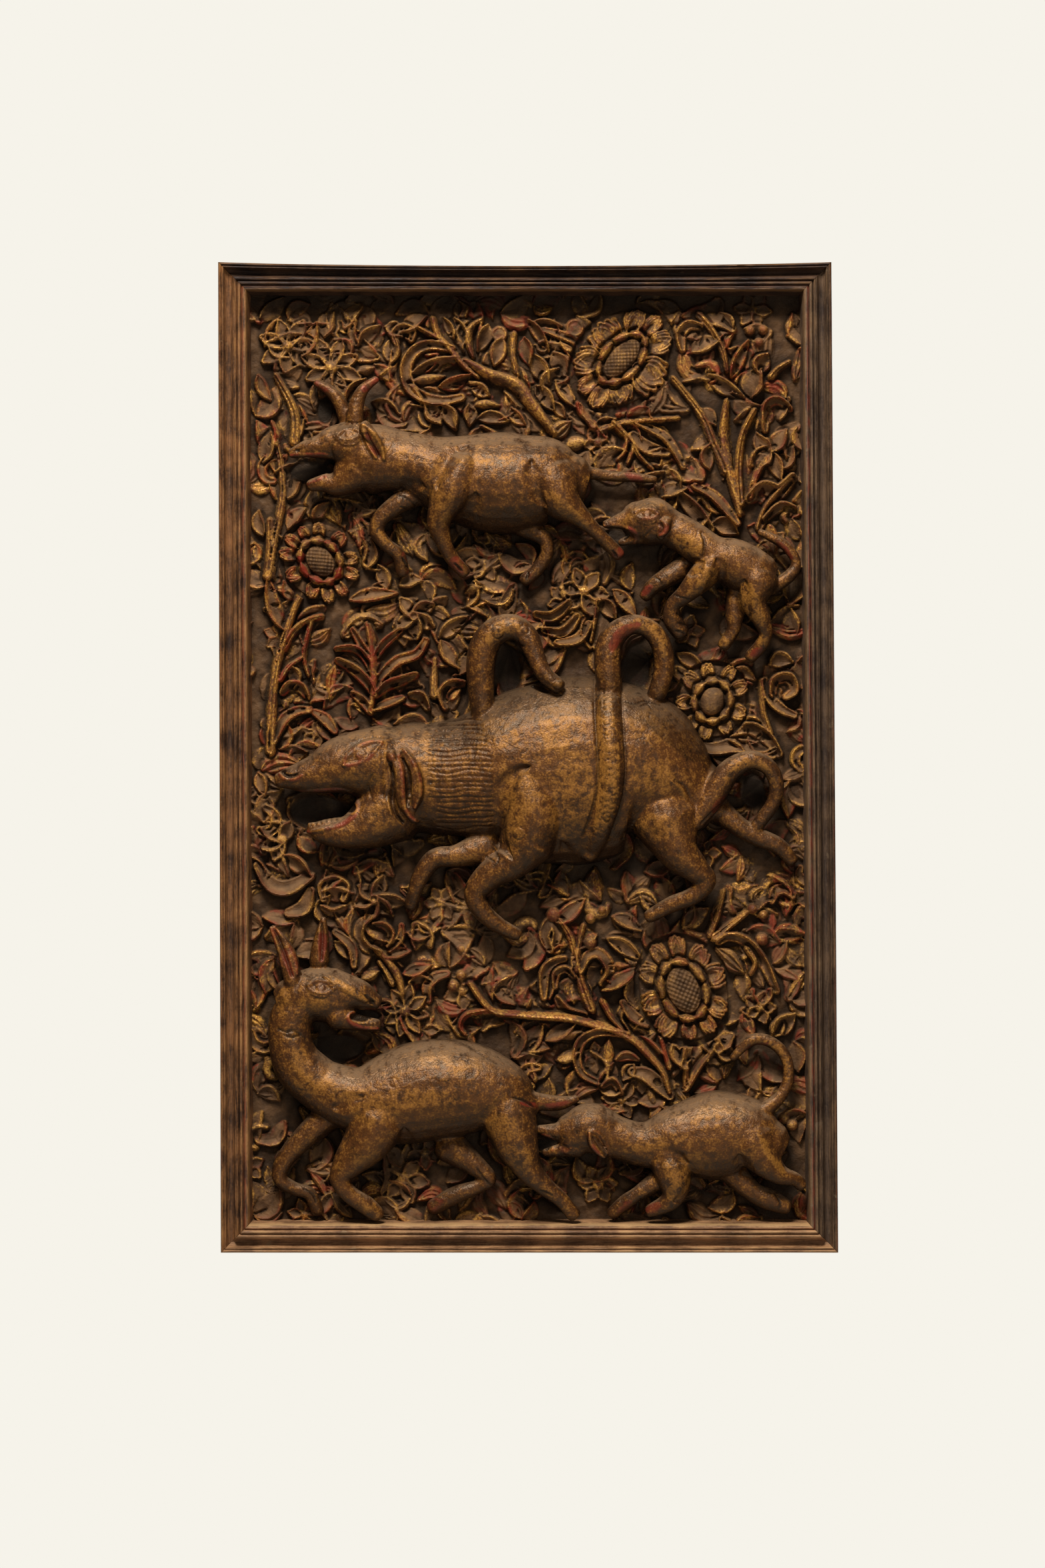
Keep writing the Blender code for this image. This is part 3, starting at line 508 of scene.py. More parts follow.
def wornGildingFinish():
    look, finish = animalFinish, Finish("worn gilding")
    cavity, up = finish.layer("cavity"), finish.up()
    broad, patchy = finish.noise(9, 4), finish.noise(150, 8, distortion=0.4)
    fine, grain = finish.noise(520, 4), finish.noise(70, 6, (1.6, 1, 0.35))
    # more gold where the surface faces the front: partly a painted highlight
    toward = finish.step(finish.facingY(), -0.4, -0.95)
    worn = finish.step(patchy * 0.7 + grain * 0.5 + broad * 0.4 + fine * 0.45 + toward * 0.18, 0.92, 1.3)
    colour = finish.mix(worn, look["brown"], look["ochre"])
    flecks = finish.step(fine * 0.6 + patchy * 0.5 + grain * 0.2, 0.62, 0.86)
    colour = finish.mix(flecks * worn * 0.5, colour, look["gold"])
    edge = finish.step(cavity + (patchy - 0.5) * 0.6, 0.18, 0.6)
    colour = finish.mix(edge * 0.6, colour, look["gold"])
    giltMask = finish.layer("gilt") * finish.step(patchy + fine * 0.4 + grain * 0.4, 0.72, 0.98)
    colour = finish.mix(giltMask * 0.85, colour, finish.mix(fine, look["ochre"], look["gold"]))
    redMask = finish.layer("red") * finish.step(finish.noise(60, 5), 0.38, 0.54)
    colour = finish.mix(redMask * 0.85, colour, look["red"])
    # paler colour on up-facing surfaces: settled grit and a painted top highlight
    dustAndTopLight = finish.step(up + (broad - 0.5) * 0.5, 0.36, 0.9) * finish.step(grain + fine * 0.3, 0.36, 0.68)
    colour = finish.mix(dustAndTopLight * 0.65, colour, look["dustAndTopLight"])
    black = finish.step(finish.noise(190, 5) + finish.noise(48, 5) * 0.6, 0.86, 1.08)
    colour = finish.mix(black * 0.6, colour, look["deep"])
    # painted shade on the undersides
    under = finish.step(up, -0.05, -0.75)
    colour = finish.mix(under * 0.75, colour, look["deep"])
    # painted shade on the parts that lie low, near the ground
    low = finish.step(finish.depth() + (grain - 0.5) * 0.012, -0.052, -0.022)
    colour = finish.mix(low * 0.7, colour, look["deep"])
    # painted shade along the contours, where the surface turns away from the front
    rim = finish.step(finish.facingY(), -0.62, -0.12) * finish.step(up, 0.55, 0.05)
    colour = finish.mix(rim * 0.6, colour, look["deep"])
    # painted shade in the recesses
    paintedRecessShade = finish.step(cavity * -1 + (patchy - 0.5) * 0.2, 0.08, 0.7)
    colour = finish.mix(paintedRecessShade * 0.6, colour, look["deep"])
    # grime and painted shade from the carving's layer
    colour = finish.mix(finish.layer("dirtAndShade") * 0.85, colour, look["deep"])
    rough = 0.4 + (fine - 0.5) * 0.35 + (patchy - 0.5) * 0.3 - dustAndTopLight * 0.08
    bump = finish.bump(fine * 0.6 + patchy * 0.9 + grain * 0.4, 0.001, 0.85)
    return finish.done({"Specular IOR Level": 0.41, "Specular Tint": look["sheen"]}, Base_Color=colour,
                       Roughness=rough, Normal=bump, Metallic=worn * 0.2)


def lacquerFinish(name, look):
    finish = Finish(name)
    across, along = finish.layer("across"), finish.layer("along")
    place = finish.node("ShaderNodeCombineXYZ", {}, {"X": along, "Y": across * 0.0305, "Z": look["shift"]})
    streak = finish.noise(60, 5, (1, 14, 1), place)
    patchy, fine = finish.noise(38, 6), finish.noise(420, 4)
    bodyShare = finish.step(streak * 0.6 + patchy * 0.9 + fine * 0.3, 0.65, 1.15)
    colour = finish.mix(bodyShare, look["dark"], look["body"])
    bead = finish.step(finish.layer("ridge") + (patchy - 0.5) * 2.2 + (streak - 0.5), 0.45, 1.2)
    colour = finish.mix(bead * look["gleam"], colour, look["gold"])
    innerBead = finish.step(across, 0.70, 0.76) * finish.step(across, 0.84, 0.78)
    redMask = (finish.step(across, 0.1, 0.0) + innerBead) * finish.step(streak, 0.4, 0.6)
    colour = finish.mix(redMask * look["redShare"], colour, look["red"])
    chips = finish.step(finish.noise(90, 5), 0.66, 0.72)
    colour = finish.mix(chips * 0.7, colour, look["bare"])
    # painted shade in the moulding's hollows
    paintedRecessShade = finish.step(finish.layer("ridge") * -1 + (fine - 0.5) * 0.3, 0.25, 0.9)
    colour = finish.mix(paintedRecessShade * 0.3, colour, look["deep"])
    bump = finish.bump(fine * 0.4 + streak * 1.6 + patchy, 0.0009, 0.7)
    rough = 0.46 + patchy * 0.25 + paintedRecessShade * 0.2
    return finish.done({"Specular IOR Level": 0.35}, Base_Color=colour, Roughness=rough,
                       Normal=bump)


# The two upright planks, with the foliage carved across them.

planks = {
    "step": 1.3,  # of the carving's grid, in squares
    "mostTriangles": 176000,
    "margin": 26,  # squares of plank beyond the drawing, under the moulding
    "toolMarks": 0.8,
    "sprayGap": 40,  # between the roots of two sprays
    "drawnWider": 1.12,  # what the drawn leaves are widened and raised by, to stand out of the sprays
    "drawnHigher": 1.15,
    "shaded": (478, 452),  # the strip under the top rail, where the carving is low and painted black as the rail's shadow
    # centre, half width and half height of the places cleared and painted black as shade behind the mouths
    # and loops
    "hollows": [
        (476, 1218, 56, 32), (464, 704, 40, 20), (764, 1004, 24, 44), (958, 1000, 26, 46),
        (1132, 1186, 24, 34), (487, 612, 15, 24), (548, 1526, 24, 10), (500, 1574, 56, 26),
        (926, 800, 18, 10), (812, 1720, 16, 10),
    ],
}
beyond = planks["margin"] + 4
ground = Carving(panel["left"] - beyond, panel["top"] - beyond, panel["right"] + beyond,
                 panel["bottom"] + beyond, planks["step"])


# a composite flower on a cleared disc: seed head, ring of beads, petals of overlapping lobes
def sunflower(gx, gy, wide, tall, turn, reach, petals, segments=9, lobes=3, hatch=7.5, red=0.6):
    c, n = math.cos(math.radians(turn)), math.sin(math.radians(turn))

    def around(angle, extra):
        u, v = wide * math.cos(angle), tall * math.sin(angle)
        size = math.hypot(u, v)
        u, v = u * (1 + extra / size), v * (1 + extra / size)
        return gx + u * c - v * n, gy + u * n + v * c

    dice = random.Random(int(gx))
    fan = math.pi / petals
    ground.boss(gx, gy, wide + reach + 6, 3.0, tall + reach + 6, turn, base=0.9, dirtAndShade=0.4, moat=0.9)
    for k in range(petals):
        middle = 2 * fan * k + dice.uniform(-0.07, 0.07)
        high, long = dice.uniform(9, 12.5), reach * dice.uniform(0.85, 1.1)
        root = around(middle, 10)
        half = math.dist(around(middle - fan, 9 + long), around(middle + fan, 9 + long)) * 0.42
        gilt, stain = dice.uniform(0.4, 1), min(red * dice.uniform(0, 1.3), 1)
        for side in (-1, 1, -0.5, 0.5, 0)[5 - lobes:]:
            tip = around(middle + side * fan * 0.62, 9 + long * (1 - 0.12 * abs(side)))
            lobeHigh = high * (1 - 0.1 * abs(side))
            ground.ribbon((*root, *tip), half * 0.42, lobeHigh, "petal", "scooped", wall=2.0,
                          tilt=side * 0.25, lift=0.25, gilt=gilt, red=stain, dirtAndShade=0, moat=0.15)
    for k in range(segments):
        first, last = 2 * math.pi * (k + 0.11) / segments, 2 * math.pi * (k + 0.89) / segments
        spots = [around(first + (last - first) * share, 9.0) for share in (0, 0.5, 1)]
        ground.ribbon([part for spot in spots for part in spot], 6.2, 14.5, "curl", "round",
                      gilt=dice.choice((0.5, 0.9, 1.0)), red=red * dice.choice((0.3, 1.0, 1.4)), moat=0.7)
    ground.boss(gx, gy, wide, 15.0, tall, turn, base=0.5, hatch=hatch, gilt=0.1, dirtAndShade=0.25)


# a small flower of round or pointed petals
def flower(gx, gy, bud, reach, petals, turn=0.0, pointed=False, high=11.0, red=0.0):
    dice = random.Random(int(gx * 3 + gy))
    for k in range(petals):
        angle = math.radians(turn) + 2 * math.pi * k / petals
        out = reach * dice.uniform(0.9, 1.08)
        a = (gx + math.cos(angle) * bud * 0.7, gy + math.sin(angle) * bud * 0.7)
        b = (gx + math.cos(angle) * out, gy + math.sin(angle) * out)
        half = math.pi * (bud + out) / 2 / petals * 0.92
        shape = "leaf" if pointed else "petal"
        ground.ribbon((*a, *b), half, high * dice.uniform(0.85, 1.1), shape, "scooped",
                      tilt=dice.uniform(-0.15, 0.15), gilt=dice.uniform(0.1, 0.6),
                      red=red * dice.uniform(0.3, 1))
    ground.boss(gx, gy, bud, high * 1.12, base=0.55, gilt=0.9, red=0.2)


# sprays of overlapping leaves, small flowers and curls all over the ground, under everything drawn below
def fillGround(seed):
    dice = random.Random(seed)
    roots = []
    for _ in range(9000):
        spot = (dice.uniform(panel["left"] - 8, panel["right"] + 8),
                dice.uniform(panel["top"] - 8, panel["bottom"] + 8))
        if all(math.dist(spot, other) > planks["sprayGap"] for other in roots):
            roots.append(spot)
    for gx, gy in roots:
        heading = 2.2 * math.sin(gx * 0.013) + 1.9 * math.cos(gy * 0.011) + dice.uniform(-0.8, 0.8)
        kind, count = dice.random(), dice.choice((2, 3, 3, 4))
        if kind < 0.06:
            flower(gx, gy, dice.uniform(5, 7), dice.uniform(20, 28), dice.choice((5, 6)), dice.uniform(0, 90),
                   dice.random() < 0.5, dice.uniform(6, 8), dice.uniform(0, 0.6))
            continue
        if kind < 0.14:
            reach, way = dice.uniform(18, 28), dice.choice((-1, 1))
            route = [part for k in range(6) for part in (
                gx + reach * (1 - 0.11 * k) * math.cos(heading + way * k * 0.7),
                gy + reach * (1 - 0.11 * k) * math.sin(heading + way * k * 0.7))]
            ground.ribbon(route, dice.uniform(5, 8), dice.uniform(8, 11), "curl",
                          dice.choice(("scooped", "round")), gilt=dice.uniform(0, 0.9),
                          red=dice.choice((0, 0.3, 0.8)), dirtAndShade=0)
        for k in range(count):
            side = k - (count - 1) / 2
            angle = heading + side * dice.uniform(0.6, 0.95)
            long = dice.uniform(36, 62) * (1 - 0.1 * abs(side))
            wide, bend = long * dice.uniform(0.2, 0.3), dice.uniform(-0.25, 0.25) * long
            c, n = math.cos(angle), math.sin(angle)
            route = (gx + 3 * c, gy + 3 * n, gx + c * long / 2 - n * bend, gy + n * long / 2 + c * bend,
                     gx + c * long, gy + n * long)
            ground.ribbon(route, wide, dice.uniform(4.5, 9), dice.choice(("leaf", "leaf", "petal")),
                          dice.choice(("dished", "dished", "ribbed")),
                          tilt=dice.choice((-1, 1)) * dice.uniform(0.25, 0.6),
                          lift=dice.uniform(-0.3, 0.7), gilt=dice.choice((0, 0, 0.4, 0.9)),
                          red=dice.choice((0, 0, 0.3, 0.8)), dirtAndShade=0, steps=3)


fillGround(11)
# Each row: kind, half width, height in millimetres, gilt, red, then the route from root to tip.
foliageKinds = {
    "leaf": ("leaf", "scooped"), "ribbed": ("leaf", "ribbed"), "lens": ("leaf", "round"),
    "petal": ("petal", "scooped"), "stem": ("stem", "twin"), "curl": ("curl", "scooped"),
    "ring": ("curl", "round"), "blade": ("leaf", "ridge"),
}
foliageTopLeft = [
    ("leaf", 9, 10, .9, .5, 452, 530, 464, 508, 474, 480),
    ("leaf", 11, 9, .2, 0, 486, 500, 490, 478, 500, 464),
    ("curl", 4, 10, .6, .3, 535, 512, 528, 496, 532, 478),
    ("leaf", 8, 10, .3, .2, 540, 512, 552, 500, 570, 486),
    ("leaf", 10, 11, .1, 0, 580, 486, 592, 490, 604, 500),
    ("leaf", 9, 10, .2, 0, 606, 492, 622, 478, 640, 470),
    ("leaf", 11, 12, .3, 0, 588, 540, 588, 522, 592, 502),
    ("curl", 5, 11, .4, 0, 596, 512, 594, 496, 606, 488, 620, 494, 618, 506),
    ("lens", 6, 8, .2, 0, 534, 556, 548, 552, 562, 548),
    ("ring", 5.5, 13, .7, .2, 720, 562, 700, 545, 677, 517, 660, 500, 652, 474),
    ("stem", 5, 12, .7, .2, 678, 520, 656, 506, 630, 490),
    ("leaf", 5, 10, .2, 0, 682, 502, 676, 488, 668, 474),
    ("leaf", 5, 10, .2, 0, 700, 502, 694, 488, 684, 474),
    ("curl", 7, 13, .7, .2, 680, 520, 650, 514, 628, 520, 614, 536, 610, 556, 618, 580, 640, 594, 668, 598,
     694, 593),
    ("leaf", 8, 11, .1, 0, 622, 556, 655, 544, 692, 534),
    ("lens", 7, 10, .2, 0, 620, 570, 642, 568, 668, 562),
    ("leaf", 8, 12, .9, .8, 662, 577, 684, 572, 708, 560),
    ("stem", 5, 11, .6, 0, 618, 580, 634, 602, 642, 624),
    ("leaf", 10, 12, .3, 0, 640, 606, 650, 616, 662, 632),
    ("leaf", 9, 12, .3, 0, 666, 606, 676, 620, 684, 640),
    ("stem", 7, 12, .8, 0, 440, 660, 441, 630, 434, 602, 412, 562),
    ("stem", 4, 10, .2, 1, 415, 662, 414, 646, 408, 630),
    ("leaf", 10, 10, .2, 0, 392, 690, 398, 668, 404, 646),
    ("leaf", 7, 10, .3, .3, 386, 560, 392, 580, 404, 596),
    ("leaf", 6, 10, .6, .5, 520, 600, 530, 580, 548, 566),
    ("stem", 6, 11, .5, .1, 399, 862, 410, 800, 422, 740, 418, 690, 412, 660),
    ("leaf", 9, 10, .2, 0, 430, 745, 436, 728, 448, 712),
    ("leaf", 8, 10, .3, .3, 430, 790, 440, 772, 456, 760),
    ("leaf", 8, 10, .2, 0, 392, 800, 384, 780, 386, 764),
    ("leaf", 7, 10, .6, .4, 470, 780, 478, 764, 492, 752),
    ("leaf", 8, 9, .2, 0, 720, 625, 740, 622, 764, 628),
    ("leaf", 8, 9, .2, 0, 560, 600, 580, 606, 598, 618),
]
foliageTopMiddle = [
    ("ring", 5, 12, .9, .1, 725, 477, 710, 490, 707, 510, 713, 532),
    ("leaf", 9, 11, .2, 0, 735, 484, 730, 502, 720, 522),
    ("leaf", 10, 11, .4, .1, 756, 504, 750, 524, 744, 544),
    ("leaf", 9, 12, .3, .8, 790, 504, 792, 522, 796, 542),
    ("leaf", 11, 12, .5, 0, 806, 530, 812, 548, 826, 570),
    ("stem", 4, 11, .9, .1, 773, 498, 772, 530, 778, 560, 781, 592),
    ("leaf", 12, 11, .1, 0, 834, 526, 844, 542, 860, 562),
    ("leaf", 12, 11, .7, 0, 818, 582, 830, 566, 842, 550),
    ("leaf", 10, 11, .4, 0, 808, 576, 820, 592, 834, 612),
    ("leaf", 9, 11, .3, 0, 838, 568, 852, 584, 866, 606),
    ("leaf", 6, 10, .3, 0, 836, 601, 842, 611, 850, 622),
    ("leaf", 6, 11, .8, .3, 796, 477, 812, 498, 826, 522),
    ("leaf", 5, 10, .2, 0, 805, 480, 825, 481, 846, 486),
    ("curl", 5, 11, .8, .5, 820, 491, 850, 500, 870, 510, 882, 524),
    ("leaf", 7, 11, .9, .2, 845, 506, 856, 514, 871, 524),
    ("ring", 9, 14, .7, .1, 700, 540, 735, 560, 775, 575, 795, 600, 815, 625, 832, 646),
    ("lens", 6, 11, .2, 0, 714, 606, 732, 604, 752, 606),
    ("leaf", 8, 11, .3, 0, 706, 604, 708, 618, 706, 634),
    ("petal", 13, 12, .3, .2, 896, 632, 890, 612, 880, 602),
    ("stem", 4, 11, .5, .9, 873, 604, 878, 618, 895, 629, 913, 651),
    ("ring", 3.5, 11, .4, .6, 935, 638, 943, 658, 939, 676, 930, 686),
    ("ring", 3.5, 11, .6, .5, 948, 648, 953, 670, 945, 692),
    ("ribbed", 11, 11, .1, 0, 834, 654, 845, 643, 860, 630),
    ("lens", 10, 11, .2, 0, 852, 668, 868, 663, 886, 660),
    ("stem", 4, 12, .9, .2, 905, 641, 930, 632, 960, 628, 1022, 623),
    ("stem", 4, 12, .8, .6, 925, 634, 950, 660, 962, 682, 982, 702),
    ("curl", 5, 12, .8, .2, 960, 630, 1000, 650, 1018, 672, 1030, 697),
    ("curl", 8, 11, .2, 0, 955, 650, 975, 668, 1005, 676),
    ("leaf", 10, 10, .2, 0, 700, 470, 694, 460, 690, 448),
    ("leaf", 7, 10, .3, .5, 770, 610, 776, 622, 790, 634),
    ("leaf", 8, 10, .2, 0, 735, 590, 720, 580, 706, 570),
]
foliageTopRight = [
    ("curl", 6, 12, .6, .2, 1030, 520, 1028, 497, 1040, 484, 1056, 486),
    ("stem", 5, 12, .6, .1, 1055, 470, 1075, 495, 1090, 524, 1096, 552),
    ("leaf", 10, 11, .2, 0, 1045, 524, 1062, 512, 1086, 506),
    ("leaf", 7, 12, .9, .9, 1105, 562, 1116, 536, 1130, 508),
    ("leaf", 9, 11, .1, 0, 1070, 560, 1094, 578, 1122, 592),
    ("leaf", 11, 12, .7, .3, 1146, 556, 1150, 542, 1160, 528),
    ("leaf", 14, 12, .3, 0, 1134, 592, 1136, 570, 1148, 550),
    ("stem", 4, 11, .5, .1, 1165, 562, 1176, 550, 1192, 540),
    ("ring", 7, 13, .9, .1, 1117, 768, 1102, 700, 1093, 650, 1098, 600),
    ("stem", 6, 13, .8, .2, 1118, 752, 1115, 700, 1122, 650, 1140, 614),
    ("stem", 6, 13, .6, .1, 1095, 704, 1075, 660, 1058, 620, 1015, 565),
    ("stem", 5, 12, .6, .5, 1130, 742, 1140, 710, 1156, 684),
    ("curl", 9, 12, .3, 0, 1130, 746, 1152, 730, 1176, 735, 1196, 714),
    ("curl", 6, 12, .3, .2, 1145, 790, 1160, 760, 1194, 720),
    ("curl", 5, 12, .3, .1, 1154, 776, 1178, 757, 1197, 760),
    ("curl", 6, 13, .9, .4, 1112, 782, 1078, 742, 1048, 727),
    ("leaf", 9, 12, .2, 0, 998, 742, 1012, 732, 1034, 730),
    ("curl", 9, 11, .1, 0, 1025, 740, 1050, 768, 1070, 792),
    ("leaf", 11, 11, .2, 0, 1076, 782, 1092, 786, 1112, 798),
    ("leaf", 10, 11, .6, .3, 1164, 674, 1174, 658, 1186, 642),
    ("leaf", 9, 11, .3, .1, 1165, 676, 1170, 694, 1178, 716),
    ("leaf", 10, 11, .3, .1, 1163, 672, 1148, 662, 1142, 648),
    ("leaf", 9, 11, .3, .2, 1163, 676, 1150, 688, 1146, 700),
    ("curl", 5, 12, .3, .7, 1155, 642, 1158, 606, 1175, 598, 1192, 610),
    ("ring", 3.5, 9, 0, 0, 1164, 673, 1166, 675), ("leaf", 8, 10, .2, 0, 1180, 700, 1190, 684, 1196, 668),
    ("leaf", 8, 10, .2, .3, 1070, 700, 1066, 680, 1072, 664),
    ("leaf", 8, 10, .2, 0, 1060, 610, 1070, 620, 1080, 634),
    ("leaf", 8, 10, .2, 0, 1000, 520, 1010, 500, 1018, 486),
    ("leaf", 7, 10, .3, 0, 960, 720, 980, 716, 1000, 706),
]
foliageLeft = [
    ("stem", 8, 12, .6, .1, 402, 862, 405, 830, 404, 780),
    ("leaf", 13, 11, .1, 0, 548, 850, 552, 828, 556, 806),
    ("leaf", 8, 12, .8, .8, 525, 898, 556, 890, 594, 888),
    ("leaf", 9, 12, .9, .6, 424, 942, 408, 908, 400, 866),
    ("stem", 7, 13, .8, .1, 401, 1126, 403, 1080, 406, 1035, 413, 990, 425, 950, 437, 915, 447, 893),
    ("stem", 5, 13, .7, .9, 424, 972, 440, 945, 460, 930, 480, 924),
    ("stem", 3.5, 11, .1, 1, 463, 930, 456, 960, 452, 985, 459, 1012),
    ("stem", 4, 11, .1, 1, 417, 1017, 430, 998, 450, 984),
    ("curl", 6, 12, .3, 1, 422, 1038, 432, 1028, 448, 1030, 458, 1044),
    ("curl", 6, 12, .5, .8, 406, 1114, 422, 1080, 442, 1066, 462, 1064),
    ("curl", 6, 11, .3, .8, 470, 1068, 486, 1078, 500, 1096),
    ("ring", 7, 13, .5, .7, 556, 1066, 563, 1030, 562, 1000, 560, 968, 552, 936),
    ("curl", 4, 13, .2, 1, 560, 1016, 547, 986, 530, 972, 504, 972),
    ("curl", 4, 13, .4, .8, 558, 992, 542, 968, 528, 944),
    ("curl", 6, 14, .5, .9, 560, 1042, 550, 1024, 530, 1004, 506, 990),
    ("curl", 4.5, 13, .3, 1, 562, 986, 575, 965, 600, 944),
    ("curl", 6, 14, .8, .8, 562, 1032, 572, 1012, 596, 990, 624, 980, 638, 960),
    ("curl", 6, 14, .4, .9, 564, 1042, 580, 1028, 602, 1020, 622, 1012),
    ("curl", 5, 12, .5, .6, 560, 1062, 580, 1054, 602, 1046),
    ("curl", 5, 12, .3, .7, 554, 1068, 544, 1052, 528, 1040),
    ("petal", 9, 12, .4, 0, 621, 923, 612, 910, 602, 898),
    ("petal", 9, 12, .4, .1, 621, 923, 634, 912, 648, 906),
    ("petal", 9, 12, .5, .1, 621, 923, 634, 930, 648, 938),
    ("petal", 9, 12, .2, 0, 621, 923, 622, 940, 624, 954),
    ("petal", 8, 12, .2, 0, 621, 923, 608, 930, 598, 940),
    ("leaf", 9, 11, .2, 0, 660, 955, 678, 940, 702, 924),
    ("leaf", 9, 11, .8, .2, 662, 960, 672, 978, 688, 1000),
    ("curl", 6, 12, .4, .5, 668, 1060, 664, 1040, 676, 1026, 694, 1024),
    ("curl", 6, 11, .3, 0, 616, 1042, 630, 1044, 640, 1060),
    ("stem", 5, 11, .3, .1, 650, 1042, 650, 1014, 651, 988),
    ("leaf", 9, 10, .2, 0, 580, 880, 574, 862, 566, 846),
    ("leaf", 8, 10, .3, .3, 600, 876, 616, 868, 632, 868),
    ("leaf", 8, 10, .2, 0, 436, 1000, 440, 1014, 438, 1030),
    ("leaf", 8, 10, .2, 0, 690, 1010, 700, 990, 704, 974),
    ("leaf", 8, 10, .2, 0, 600, 1000, 592, 1012, 590, 1024),
]
foliageCentre = [
    ("lens", 7, 10, .1, 0, 700, 888, 710, 884, 722, 880),
    ("leaf", 9, 11, .3, .1, 904, 898, 914, 910, 926, 926),
    ("leaf", 9, 11, .6, .3, 924, 884, 940, 900, 956, 922),
    ("curl", 6, 12, .6, .2, 855, 903, 842, 916, 826, 924, 806, 920),
    ("curl", 6, 12, .6, .1, 868, 924, 854, 942, 840, 948, 818, 944),
    ("curl", 6, 12, .7, .2, 886, 934, 874, 952, 860, 960, 838, 962),
    ("stem", 3, 11, .7, .1, 900, 900, 896, 930, 890, 960),
]
foliageLowerLeft = [
    ("petal", 9, 10, .1, 0, 420, 1260, 406, 1250, 392, 1244),
    ("petal", 9, 10, .1, 0, 420, 1260, 406, 1266, 392, 1272),
    ("petal", 9, 10, .1, 0, 420, 1260, 414, 1274, 408, 1288),
    ("petal", 9, 10, .1, 0, 420, 1260, 426, 1248, 432, 1236),
    ("leaf", 9, 11, .3, .6, 424, 1284, 440, 1296, 462, 1314),
    ("curl", 9, 10, 0, 0, 384, 1300, 404, 1328, 430, 1332, 462, 1314),
    ("curl", 9, 10, .1, 0, 462, 1338, 452, 1362, 430, 1370),
    ("curl", 5, 10, .3, 0, 482, 1350, 480, 1330, 498, 1321, 516, 1330, 512, 1350),
    ("curl", 4, 10, .4, .4, 480, 1362, 496, 1370, 514, 1362),
    ("petal", 9, 11, .2, 0, 559, 1349, 550, 1340, 538, 1330),
    ("petal", 9, 11, .2, 0, 559, 1349, 546, 1352, 532, 1358),
    ("petal", 9, 11, .1, 0, 559, 1349, 556, 1364, 550, 1380),
    ("petal", 9, 11, .1, 0, 559, 1349, 570, 1360, 582, 1370),
    ("petal", 9, 11, .2, 0, 559, 1349, 580, 1352, 602, 1354),
    ("petal", 9, 11, .2, 0, 559, 1349, 566, 1334, 572, 1318),
    ("curl", 6, 12, .6, .2, 552, 1376, 538, 1388, 536, 1408, 548, 1424, 566, 1430),
    ("curl", 4, 11, .3, .5, 558, 1388, 574, 1390, 584, 1402, 578, 1418),
    ("curl", 4, 11, .3, .6, 600, 1390, 598, 1408, 582, 1426),
    ("leaf", 7, 11, .3, .5, 576, 1436, 592, 1430, 612, 1428),
    ("ring", 6, 12, .6, .2, 600, 1492, 592, 1466, 576, 1442, 558, 1424),
    ("stem", 4, 11, .7, 0, 586, 1476, 578, 1460, 567, 1444),
    ("leaf", 7, 10, .2, 0, 500, 1414, 512, 1426, 526, 1442),
    ("lens", 7, 10, .2, 0, 540, 1470, 552, 1464, 566, 1458),
    ("leaf", 7, 10, .1, .3, 610, 1400, 624, 1404, 642, 1404),
    ("leaf", 7, 11, .2, .9, 604, 1462, 622, 1456, 642, 1450),
    ("curl", 5, 10, .1, .4, 614, 1476, 626, 1470, 642, 1474),
    ("curl", 6, 12, .4, .6, 640, 1502, 638, 1482, 650, 1468, 668, 1462),
    ("leaf", 8, 10, .2, .3, 384, 1160, 388, 1176, 394, 1192),
    ("curl", 5, 11, .3, .4, 500, 1400, 524, 1420, 528, 1450),
]
